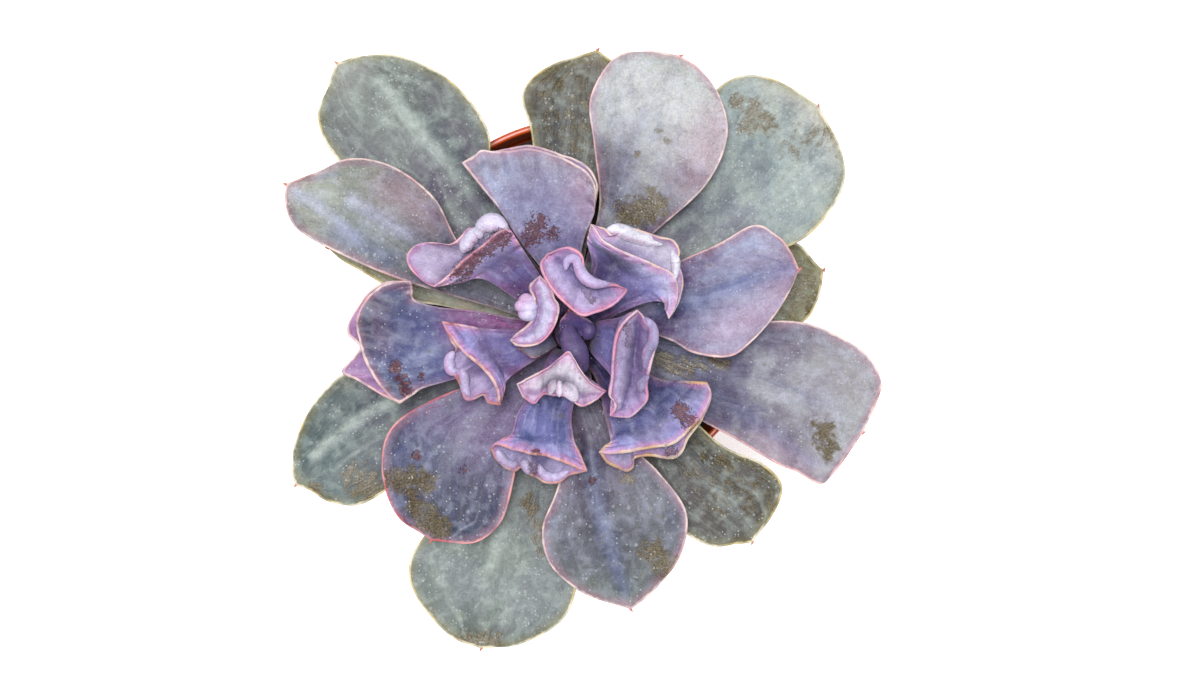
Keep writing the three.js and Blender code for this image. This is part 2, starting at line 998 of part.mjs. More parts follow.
// The potting mix fills the pot a little clear of the wall. Its top is a low mound, rough by a formula.
const mixHeight = (x, y) => {
  const out = Math.hypot(x, y) / RIM_RADIUS;
  const grain =
    Math.sin(x * 1.7 + Math.sin(y * 1.1) * 2) * Math.cos(y * 1.5 - x * 0.4);
  return RIM_HEIGHT - MIX_DROP + MIX_MOUND * (1 - out * out) + 0.5 * grain;
};
const mixGeometry = () => {
  const made = new RingMesh();
  const sides = 40;
  const ringAt = (radius, height) =>
    Array.from({ length: sides }, (_, i) => {
      const turn = (2 * Math.PI * i) / sides;
      const x = radius * Math.cos(turn);
      const y = radius * Math.sin(turn);
      return new THREE.Vector3(x, y, height ?? mixHeight(x, y));
    });
  const inner = innerProfile.slice(2).reverse();
  const first = inner[0];
  made.start(
    new THREE.Vector3(0, 0, first[1] + CLEARANCE),
    ringAt(first[0] - CLEARANCE, first[1] + CLEARANCE),
  );
  inner
    .slice(1)
    .forEach(([r, z]) => made.points(ringAt(r - 2 * CLEARANCE, z + CLEARANCE)));
  const top = inner.at(-1)[0] - 2 * CLEARANCE;
  [1, 0.84, 0.68, 0.52, 0.36, 0.2].forEach((share) =>
    made.points(ringAt(top * share)),
  );
  made.end(new THREE.Vector3(0, 0, mixHeight(0, 0)));
  const foot = stemAt(-MIX_DROP);
  const bore = STEM_RADIUS + 2 * CLEARANCE;
  const hole = new THREE.CylinderGeometry(bore, bore, 2 * STEM_HOLE_DEPTH, 24)
    .rotateX(Math.PI / 2)
    .translate(foot.x, foot.y, foot.z);
  return geometryOf(solidOf(made.geometry()).subtract(solidOf(hole)));
};

// The stem stands in the hole and tapers to its crown
const stemGeometry = () => {
  const made = new RingMesh();
  const foot = CLEARANCE - MIX_DROP - STEM_HOLE_DEPTH;
  const rises = [foot, foot + 8, -MIX_DROP, -4, 2, 7, 11, 15, 19, CROWN_RISE];
  const ringAt = (rise) => {
    const axis = stemAt(Math.max(rise, -MIX_DROP));
    const radius = stemRadiusAt(rise) * (rise < foot + 4 ? 0.7 : 1);
    return Array.from({ length: STEM_SIDES }, (_, i) => {
      const turn = (2 * Math.PI * i) / STEM_SIDES;
      return new THREE.Vector3(
        axis.x + radius * Math.cos(turn),
        axis.y + radius * Math.sin(turn),
        RIM_HEIGHT + rise,
      );
    });
  };
  const bottom = stemAt(-MIX_DROP).setZ(RIM_HEIGHT + foot);
  made.start(bottom, ringAt(foot));
  rises.slice(1).forEach((rise) => made.points(ringAt(rise)));
  const top = stemAt(CROWN_RISE + 1.5);
  made.end(top);
  return made.geometry();
};

const finish = (color, roughness) =>
  new THREE.MeshStandardMaterial({ color, roughness, metalness: 0 });
const potPlastic = finish(0xb9502f, 0.45);
const mix = finish(0x2a211b, 0.95);
const bark = finish(0x7d7454, 0.8);
const greenLeaf = finish(0x8d9a92, 0.6);
const mauveLeaf = finish(0x8c86a0, 0.6);
const lilacLeaf = finish(0xa09cc4, 0.55);

const plant = new THREE.Group();
const add = (name, geometry, material) => {
  const mesh = new THREE.Mesh(geometry, material);
  mesh.name = name;
  plant.add(mesh);
};

add("pot", potGeometry(), potPlastic);
add("potting_mix", mixGeometry(), mix);
add("stem", stemGeometry(), bark);
FLAT_LEAVES.forEach((leaf) =>
  add(
    leaf.name,
    flatLeaf(leaf),
    leaf.name.startsWith("outer") ? greenLeaf : mauveLeaf,
  ),
);
BELL_LEAVES.forEach((leaf) =>
  add(
    leaf.name,
    bellLeaf(leaf),
    leaf.name.startsWith("flared") ? mauveLeaf : lilacLeaf,
  ),
);

export default plant;
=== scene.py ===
"""A trompette echeveria in a thin-walled plastic pot, seen from straight above.

Flat outer leaves and bell-ended inner leaves are drawn as smooth surfaces through the same points as the
solids they replace, in millimetres, and handed to Blender in metres.
"""

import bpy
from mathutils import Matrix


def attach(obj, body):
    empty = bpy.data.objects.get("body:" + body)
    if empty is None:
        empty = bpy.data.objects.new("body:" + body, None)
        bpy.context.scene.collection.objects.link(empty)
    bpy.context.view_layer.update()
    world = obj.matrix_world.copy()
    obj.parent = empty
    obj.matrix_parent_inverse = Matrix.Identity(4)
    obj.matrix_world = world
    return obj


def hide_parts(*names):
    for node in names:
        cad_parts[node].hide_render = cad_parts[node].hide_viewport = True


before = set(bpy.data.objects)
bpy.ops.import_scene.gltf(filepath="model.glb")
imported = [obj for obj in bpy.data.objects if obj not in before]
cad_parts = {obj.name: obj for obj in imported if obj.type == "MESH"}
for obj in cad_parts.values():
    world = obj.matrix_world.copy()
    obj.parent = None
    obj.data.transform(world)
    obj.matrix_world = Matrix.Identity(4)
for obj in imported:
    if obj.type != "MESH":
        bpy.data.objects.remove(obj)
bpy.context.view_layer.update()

import logging
import math
from dataclasses import dataclass, replace
from enum import Enum

import bpy
import numpy as np
from mathutils import Vector

logging.basicConfig(level=logging.INFO, format="%(message)s")
log = logging.getLogger("echeveria")

Color = tuple[float, float, float, float]
Inputs = dict[str | int, object]

MM = 0.001
UP = np.array((0.0, 0.0, 1.0))
RIM_HEIGHT = 92.0
RIM_RADIUS = 52.5
EYE = np.array((5.3, -9.1, 466.7))

MIX_DROP = 10.0
STEM_FOOT = np.array((0.5, -5.5))
STEM_CROWN = np.array((-2.5, -8.1))
CROWN_RISE = 24.0
STEM_RADIUS = 6.6
STEM_TOP_RADIUS = 4.2
TAPER_START = 8.0
CLEARANCE = 0.3

ROOT_WIDTH = 7.0
ROOT_THICKNESS = 3.0
MARGIN_THICKNESS = 0.9
LIP_THICKNESS = 1.1

FLAT_ACROSS = 45
FLAT_ALONG = 110
BELL_ACROSS = 72
BELL_ALONG = 84
GRID_ALONG = 181
POCKET_DEPTHS = 16
LIP_STEPS = 5
ROLL_ALONG = 40
CURVE_STEPS = 400
NEARBY = 1.1
MARGIN_WAVES = ((3.1, 0.5), (5.3, 0.35), (9.7, 0.16))
LIP_WAVES = ((4.0, 0.45), (7.0, 0.3), (13.0, 0.14))
OUTERMOST = 0.9995
LAST_RING = 0.9985
TIP_CROWDING = 1.35
LIP_CROWDING = 1.3
BODY_FALL = 0.75
POCKET_WALLS = 2.6
POCKET_TOP = 0.97
MOST_WALL = 0.36
CORNER = 0.09
ROUND_POWER = 60

STUDIO_LEVEL = 1.68
RICHNESS = 1.22
ROOM_LIGHT = 0.5
FLOOR_GLOW = 0.42
FLOOR_HALF = 3
LENS = 50
SENSOR = 36
LAMPS = (
    ("overhead", (-0.05, 0.07, 1.3), 0.4, 21.0),
    ("side_fill", (-0.9, 0.7, 0.9), 0.6, 2.0),
)
WHITE = (1.0, 1.0, 1.0, 1.0)


class Slot(Enum):
    """The record's material slots."""

    POT = "pot"
    MIX = "potting_mix"
    STEM = "stem"
    OUTER = "outer_leaf"
    MIDDLE = "middle_leaf"
    TRUMPET = "trumpet_leaf"


def seen(x: float, y: float, rise: float) -> np.ndarray:
    """Places a point that was read off the plan as the eye above the pot sees it.

    Args:
        x: The reading to the right, on the plane of the rim.
        y: The reading upwards, on the plane of the rim.
        rise: The point's height over the rim.

    Returns:
        The point in millimetres.
    """
    nearer = 1 - rise / EYE[2]
    plan = EYE[:2] + (np.array((x, y)) - EYE[:2]) * nearer
    return np.array((plan[0], plan[1], RIM_HEIGHT + rise))


def reading(points: np.ndarray) -> np.ndarray:
    """Gives the plan reading of points in millimetres, the reverse of seen.

    Args:
        points: Points, with their coordinates on the last axis.

    Returns:
        The readings, with a third coordinate of zero.
    """
    nearer = 1 - (points[..., 2:3] - RIM_HEIGHT) / EYE[2]
    plan = EYE[:2] + (points[..., :2] - EYE[:2]) / nearer
    return np.concatenate([plan, np.zeros_like(plan[..., :1])], axis=-1)


def smooth_through(knots: np.ndarray, at: np.ndarray) -> np.ndarray:
    """Follows a smooth curve through knots.

    Args:
        knots: The knots on the first axis, each of any shape.
        at: Places along the curve, 0 at the first knot and 1 at the last.

    Returns:
        The values, with the places on the first axis.
    """
    first = 2 * knots[0] - knots[1]
    last = 2 * knots[-1] - knots[-2]
    padded = np.concatenate([first[None], knots, last[None]])
    spans = len(knots) - 1
    place = np.clip(at, 0, 1) * spans
    index = np.minimum(place.astype(int), spans - 1)
    t = (place - index).reshape((-1,) + (1,) * (knots.ndim - 1))
    p0, p1, p2, p3 = (padded[index + k] for k in range(4))
    slope1 = (p2 - p0) / 2
    slope2 = (p3 - p1) / 2
    cubic = 2 * p1 - 2 * p2 + slope1 + slope2
    square = -3 * p1 + 3 * p2 - 2 * slope1 - slope2
    return ((cubic * t + square) * t + slope1) * t + p1


def evenly_along(knots: np.ndarray, count: int) -> np.ndarray:
    """Spaces points evenly on the smooth curve through knots.

    Args:
        knots: The knots, one to a row.
        count: How many points.

    Returns:
        The points, one to a row.
    """
    dense = smooth_through(knots, np.linspace(0, 1, CURVE_STEPS))
    steps = np.linalg.norm(np.diff(dense, axis=0), axis=1)
    length = np.concatenate([[0], np.cumsum(steps)])
    wanted = np.linspace(0, length[-1], count)
    return np.stack([np.interp(wanted, length, dense[:, k]) for k in range(3)], 1)


def unit(vector: np.ndarray) -> np.ndarray:
    """Scales vectors to a length of one."""
    size = np.linalg.norm(vector, axis=-1, keepdims=True)
    return vector / np.maximum(size, 1e-9)


def eased(value: np.ndarray, low: float, high: float) -> np.ndarray:
    """Rises smoothly from 0 at low to 1 at high."""
    t = np.clip((value - low) / (high - low), 0, 1)
    return t * t * (3 - 2 * t)


def full_turn(count: int) -> np.ndarray:
    """Spaces angles evenly round a full turn."""
    return np.linspace(0, 2 * np.pi, count, endpoint=False)


def unit_circle(count: int) -> np.ndarray:
    """Gives points on a circle with a radius of one, as x and y."""
    turns = full_turn(count)
    return np.stack([np.cos(turns), np.sin(turns)], axis=-1)


def raised(plan: np.ndarray, height: float | np.ndarray) -> np.ndarray:
    """Gives plan points, one to a row, one height or a height for each."""
    return np.column_stack([plan, np.broadcast_to(height, len(plan))])


def mirrored(values: np.ndarray) -> np.ndarray:
    """Puts values for the upper side and, backwards, for the lower side in one row."""
    return np.concatenate([values, values[::-1]])


def averaged(values: np.ndarray, reach: int) -> np.ndarray:
    """Evens values out over their neighbours, as many to each side as the reach says."""
    count = 2 * reach + 1
    return np.convolve(np.pad(values, reach, mode="edge"), np.ones(count) / count, mode="valid")


def places_across(count: int) -> np.ndarray:
    """Spaces places across a leaf, -1 to 1, closer together towards its margins."""
    return OUTERMOST * np.sin(np.pi / 2 * np.linspace(-1, 1, count))


def stem_at(rise: float) -> np.ndarray:
    """Gives the middle of the leaning stem.

    Args:
        rise: Height over the rim.

    Returns:
        The point in millimetres.
    """
    share = (rise + MIX_DROP) / (CROWN_RISE + MIX_DROP)
    plan = STEM_FOOT + (STEM_CROWN - STEM_FOOT) * share
    return np.array((plan[0], plan[1], RIM_HEIGHT + rise))


def stem_radius_at(rise: float) -> float:
    """Gives the stem's radius at a height over the rim."""
    taper = float(eased(np.array(rise), TAPER_START, CROWN_RISE))
    return STEM_RADIUS + (STEM_TOP_RADIUS - STEM_RADIUS) * taper


@dataclass
class Surface:
    """A closed surface of rings, with facts about each of its points.

    Attributes:
        points: The points, in millimetres.
        faces: The faces, as indices of points.
        facts: A value for each point, by name.
    """

    points: np.ndarray
    faces: list[tuple[int, ...]]
    facts: dict[str, np.ndarray]

    @staticmethod
    def of_rings(rings: np.ndarray, facts: dict[str, np.ndarray], seam: bool = False) -> "Surface":
        """Joins rings in order, closes the first with a fan and the last with a fan or a seam.

        Args:
            rings: Rings of points, as ring, point and coordinate.
            facts: A value for each point of each ring.
            seam: Whether the last ring's halves lie on each other and are one.

        Returns:
            The surface.
        """
        count, size = rings.shape[:2]
        index = np.arange(count * size).reshape(count, size)
        if seam:
            index[-1, size // 2 :] = index[-1, : size // 2][::-1]
        here, there = index[:-1], index[1:]
        quads = np.stack(
            [here, np.roll(here, -1, 1), np.roll(there, -1, 1), there], axis=-1
        ).reshape(-1, 4)
        faces = []
        for quad in quads.tolist():
            corners = tuple(dict.fromkeys(quad))
            if len(corners) > 2:
                faces.append(corners)
        points = [rings.reshape(-1, 3), rings[0].mean(0)[None]]
        values = {k: [v.reshape(-1), [v[0].mean()]] for k, v in facts.items()}
        centre = count * size
        faces += [(centre, int(index[0, (k + 1) % size]), int(index[0, k])) for k in range(size)]
        if not seam:
            points.append(rings[-1].mean(0)[None])
            for name, parts in values.items():
                parts.append([facts[name][-1].mean()])
            last = index[-1]
            faces += [(centre + 1, int(last[k]), int(last[(k + 1) % size])) for k in range(size)]
        return Surface(
            np.concatenate(points),
            faces,
            {k: np.concatenate(v) for k, v in values.items()},
        )

    def joined(self, *others: "Surface") -> "Surface":
        """Puts other surfaces beside this one.

        Args:
            *others: The other surfaces. A fact that one of them lacks is zero on it.

        Returns:
            All as one.
        """
        points, faces = [self.points], list(self.faces)
        facts = {name: [values] for name, values in self.facts.items()}
        offset = len(self.points)
        for other in others:
            points.append(other.points)
            faces += [tuple(k + offset for k in face) for face in other.faces]
            offset += len(other.points)
            for name, values in facts.items():
                values.append(other.facts.get(name, np.zeros(len(other.points))))
        joint = {name: np.concatenate(values) for name, values in facts.items()}
        return Surface(np.concatenate(points), faces, joint)


def spike(foot: np.ndarray, towards: np.ndarray, length: float, radius: float) -> Surface:
    """Makes the small hard point at a leaf's end.

    Args:
        foot: Where it starts.
        towards: Its direction.
        length: Its length.
        radius: Its radius at the foot.

    Returns:
        The surface, with the fact "horn" set to 1.
    """
    ahead = unit(towards)
    side = unit(np.cross(ahead, UP))
    up = np.cross(side, ahead)
    turns = full_turn(14)
    rings = []
    for share in np.linspace(0, 1, 9):
        wide = radius * (1 - share) ** 0.8 + 0.04
        middle = foot + ahead * length * (share - 0.25) + up * 0.25 * length * share**2
        rings.append(middle + wide * (np.cos(turns)[:, None] * side + np.sin(turns)[:, None] * up))
    rings = np.array(rings)[:, ::-1]
    ones = np.ones(rings.shape[:2])
    return Surface.of_rings(rings, {"horn": ones, "along": ones, "edge": 0.3 * ones})


@dataclass(frozen=True)
class Crease:
    """A ridge or a groove in a leaf, along a line on the plan.

    Attributes:
        line: The line's points, as plan readings.
        width: How wide it spreads, in millimetres.
        height: How far it stands up, or below zero how deep it goes, in millimetres.
    """

    line: tuple[tuple[float, float], ...]
    width: float
    height: float


@dataclass(frozen=True)
class Roll:
    """A fleshy curl of a lip that lies on its leaf, along a line on the plan.

    Attributes:
        line: The points that its axis passes, as plan readings, with heights over the rim or without.
        radius: How wide it is from its axis at its middle, in millimetres.
        sunk: How deep its axis lies under the leaf's top, in millimetres, where no height is given.
        flat: Its height as a share of its width.
    """

    line: tuple[tuple[float, ...], ...]
    radius: float
    sunk: float = 0.3
    flat: float = 1.0

    def surface(self, leaf: Surface) -> Surface:
        """Draws the curl on its leaf.

        Args:
            leaf: The leaf's surface.

        Returns:
            The curl's surface.
        """
        knots = np.array([(*point, 0.0)[:3] for point in self.line])
        path = evenly_along(knots, ROLL_ALONG)
        rises = path[:, 2]
        if len(self.line[0]) == 2:
            plan = reading(leaf.points)[:, :2]
            tops = []
            for x, y, _ in path:
                near = np.linalg.norm(plan - (x, y), axis=1) < NEARBY
                tops.append(leaf.points[near, 2].max() if near.any() else np.nan)
            known = np.flatnonzero(~np.isnan(tops))
            tops = np.interp(np.arange(len(tops)), known, np.array(tops)[known])
            rises = averaged(tops, 8) - RIM_HEIGHT - self.sunk
        spine = np.array([seen(x, y, rise) for (x, y, _), rise in zip(path, rises)])
        share = np.linspace(0, 1, len(spine))
        wide = self.radius * np.sqrt(np.clip(np.sin(np.pi * np.clip(share, 0.004, 0.996)), 0, 1))
        wide = wide * (1 + 0.07 * np.sin(share * 8 + self.radius * 9))
        ahead = unit(np.gradient(spine, axis=0))
        side = unit(np.cross(ahead, UP))
        up = np.cross(side, ahead)
        turns = np.linspace(2 * np.pi, 0, 20, endpoint=False)[None, :, None]
        rings = spine[:, None] + wide[:, None, None] * (
            np.cos(turns) * side[:, None] + self.flat * np.sin(turns) * up[:, None]
        )
        shape = rings.shape[:2]
        level = np.full(shape, 0.3)
        lip = 1.2 + 2.6 * np.repeat(np.abs(np.sin(turns[..., 0] - 0.9)), shape[0], 0)
        facts = {"along": np.ones(shape), "edge": lip, "upper": np.ones(shape), "inside": level}
        return Surface.of_rings(rings, facts)


class MarkKind(Enum):
    """What a mark on a leaf is. The value is the fact that holds it."""

    RUB = "rub"
    SCAR = "scar"
    # Pale veins, and painted highlights on ridges and lips.
    LIGHT = "light"
    # Dark veins, and painted shade in creases, folds and hollows.
    DARK = "dark"
    FLUSH = "flush"
    TONE = "tone"


@dataclass(frozen=True)
class Mark:
    """A worn patch, scar or vein on a leaf, or painted shade or a painted highlight on it, along a line on
    the plan.

    Attributes:
        kind: What it is.
        line: The line's points, as plan readings.
        size: How far it spreads from the line, in millimetres.
        strength: How strong it is at the line, 0 to 1.
    """

    kind: MarkKind
    line: tuple[tuple[float, float], ...]
    size: float
    strength: float = 1.0


def line_distance(plan: np.ndarray, line: tuple[tuple[float, float], ...]) -> np.ndarray:
    """Measures from plan readings to a line of straight stretches.

    Args:
        plan: Readings, with x and y first on the last axis.
        line: The line's points, of which one is a dot.

    Returns:
        The distances in millimetres.
    """
    ends = line if len(line) > 1 else line * 2
    best = np.full(plan.shape[:-1], 1e9)
    for start, end in zip(ends, ends[1:]):
        a, span = np.array(start), np.subtract(end, start)
        offset = plan[..., :2] - a
        share = np.clip(offset @ span / max(float(span @ span), 1e-9), 0, 1)
        best = np.minimum(best, np.linalg.norm(offset - share[..., None] * span, axis=-1))
    return best


@dataclass
class Leaf:
    """What flat and bell-ended leaves share.

    Attributes:
        name: The solid that the leaf replaces.
        root: The height of its root over the rim.
        pairs: Its margins, as readings of a left and a right point for each section.
        rise: The height of each section's middle over the rim.
        root_width: Its width on the stem.
        reach: The root's distance from the stem's axis, if it isn't right on the stem.
        body: The thickness of each section at the middle.
        cup: How far its margins stand over its middle.
    """

    name: str
    root: float = 0.0
    pairs: tuple[tuple[float, float, float, float], ...] = ()
    rise: tuple[float, ...] = ()
    root_width: float = ROOT_WIDTH
    reach: float | None = None
    body: tuple[float, ...] = (3.6, 3.5, 3.2, 2.9, 2.4, 1.9, 1.5)
    cup: float = 0.0

    @property
    def seed(self) -> int:
        """Gives a number that differs from leaf to leaf."""
        return sum((k + 3) * ord(letter) for k, letter in enumerate(self.name))

    def sections(self, across: np.ndarray) -> np.ndarray:
        """Gives the sections from the root outwards.

        Args:
            across: Places across the leaf, -1 at the left margin and 1 at the right.

        Returns:
            The points of each section, its upper side and then its lower side back.
        """
        pairs = np.array(self.pairs, float)
        widths = np.hypot(pairs[:, 2] - pairs[:, 0], pairs[:, 3] - pairs[:, 1])
        rows = []
        for (lx, ly, rx, ry), rise, share in zip(pairs, self.rise, widths / widths.max()):
            edge_rise = rise + self.cup * share
            middle = seen((lx + rx) / 2, (ly + ry) / 2, rise)
            rows.append((seen(lx, ly, edge_rise), middle, seen(rx, ry, edge_rise)))
        axis = stem_at(self.root)
        out = unit((rows[0][1] - axis) * (1, 1, 0))
        side = np.array((-out[1], out[0], 0.0))
        reach = stem_radius_at(self.root - 2) + CLEARANCE if self.reach is None else self.reach
        seat = axis + out * reach
        half = side * self.root_width / 2
        rows.insert(0, (seat + half, seat, seat - half))
        whole = unit(rows[-1][1] - seat)
        sections = []
        for k, (left, middle, right) in enumerate(rows):
            ahead = rows[min(k + 1, len(rows) - 1)][1]
            behind = rows[max(k - 1, 0)][1]
            forward = ahead - behind + 3 * whole
            if k == 0:
                forward = unit(forward) + out
            body = self.body[k - 1] if k else ROOT_THICKNESS
            sections.append(self.section(left, middle, right, forward, body, across))
        return np.array(sections)

    @staticmethod
    def section(
        left: np.ndarray,
        middle: np.ndarray,
        right: np.ndarray,
        forward: np.ndarray,
        body: float,
        across: np.ndarray,
    ) -> np.ndarray:
        """Gives one section with rounded margins.

        Args:
            left: The left margin.
            middle: The middle of the upper side.
            right: The right margin.
            forward: The leaf's direction here.
            body: The thickness at the middle.
            across: Places across the leaf, -1 to 1.

        Returns:
            The points of the upper side and then of the lower side back.
        """
        up = unit(np.cross(right - left, forward))
        t = across[:, None]
        bulge = 1 - t**2
        roundness = np.sqrt(1 - np.abs(t) ** ROUND_POWER)
        upper = left + (right - left) * (1 + t) / 2 + (middle - (left + right) / 2) * bulge
        thick = (MARGIN_THICKNESS + (body - MARGIN_THICKNESS) * bulge**BODY_FALL) * roundness
        upper = upper - up * MARGIN_THICKNESS / 2 * (1 - roundness)
        return np.concatenate([upper, (upper - up * thick)[::-1]])

    @staticmethod
    def facts(
        along: np.ndarray, across: np.ndarray, edge: np.ndarray, inside: np.ndarray
    ) -> dict[str, np.ndarray]:
        """Gathers the facts of a leaf's rings.

        Args:
            along: Each ring's place, 0 at the root and 1 at the end.
            across: Each ring point's place, -1 to 1.
            edge: Each point's distance from the margin, in millimetres.
            inside: How deep each ring lies in the pocket, 0 to 1.

        Returns:
            A value for each point of each ring, by name.
        """
        shape = edge.shape
        upper = (np.arange(shape[1]) < shape[1] // 2).astype(float)
        rows = {"along": along[:, None], "across": across, "upper": upper, "inside": inside[:, None]}
        facts = {name: np.broadcast_to(values, shape) for name, values in rows.items()}
        return facts | {"edge": edge, "horn": np.zeros(shape)}

    def curls(self, blade: Surface) -> list[Surface]:
        """Draws the curls that lie on the leaf's blade."""
        return [roll.surface(blade) for roll in ROLLS.get(self.name, ())]

    def shaped(self, rings: np.ndarray, along: np.ndarray, across: np.ndarray) -> np.ndarray:
        """Adds the leaf's creases and the slight waves of its margins.

        Args:
            rings: The rings of points.
            along: Each ring's place, 0 at the root and 1 at the end.
            across: Each ring point's place, -1 to 1.

        Returns:
            The changed rings.
        """
        plan = reading(rings)
        lift = np.zeros(rings.shape[:2])
        for crease in CREASES.get(self.name, ()):
            lift += crease.height * np.exp(-((line_distance(plan, crease.line) / crease.width) ** 2))
        rng = np.random.default_rng(self.seed)
        turns = rng.uniform(0, 2 * np.pi, 6)
        u, t = along[:, None], across[None, :]
        fade = eased(u, 0.2, 0.6) * (1 - 0.8 * eased(u, 0.9, 1.0))
        for k, (count, size) in enumerate(MARGIN_WAVES):
            wave = np.sin(2 * np.pi * count * u + turns[k] + (t > 0) * turns[k + 3])
            lift += size * wave * fade * np.abs(t) ** 5
        return rings + lift[..., None] * UP


@dataclass
class FlatLeaf(Leaf):
    """A leaf that closes at its tip, with a small hard point.

    Attributes:
        tip: The tip's reading and its height over the rim.
        horn: The point's length.
        horn_radius: The point's radius at its foot.
        horn_rise: How steeply the point stands up.
        end_thickness: How thick the leaf is at its tip.
    """

    tip: tuple[float, float, float] = (0.0, 0.0, 0.0)
    horn: float = 1.3
    horn_radius: float = 0.5
    horn_rise: float = 0.12
    end_thickness: float = 0.8

    def surface(self) -> Surface:
        """Draws the leaf.

        Returns:
            Its surface in millimetres, with its facts.
        """
        across = places_across(FLAT_ACROSS)
        both = mirrored(across)
        tip = seen(*self.tip)
        end = np.repeat([tip, tip - self.end_thickness * UP], FLAT_ACROSS, axis=0)
        knots = np.concatenate([self.sections(across), end[None]])
        steps = np.linspace(0, 1, FLAT_ALONG)
        along = 1 - (1 - steps) ** TIP_CROWDING
        along[-1] = LAST_RING
        rings = self.shaped(smooth_through(knots, along), along, both)
        margin = np.concatenate([rings[:, 0], rings[::-1, FLAT_ACROSS - 1]])
        facts = self.facts(along, both, nearest(rings, margin), np.zeros(FLAT_ALONG))
        blade = Surface.of_rings(rings, facts)
        heading = np.arctan2(*(rings[-1].mean(0) - rings[-9].mean(0))[1::-1])
        towards = np.array((math.cos(heading), math.sin(heading), self.horn_rise))
        point = spike(rings[-1].mean(0), towards, self.horn, self.horn_radius)
        return blade.joined(point, *self.curls(blade))


def nearest(points: np.ndarray, line: np.ndarray) -> np.ndarray:
    """Measures from points to the closest of a line's points.

    Args:
        points: Points, with their coordinates on the last axis.
        line: The line's points, one to a row.

    Returns:
        The distances, up to 60 mm.
    """
    flat = points.reshape(-1, 3)
    best = np.full(len(flat), 3600.0)
    for place in line:
        best = np.minimum(best, ((flat - place) ** 2).sum(1))
    return np.sqrt(best).reshape(points.shape[:-1])


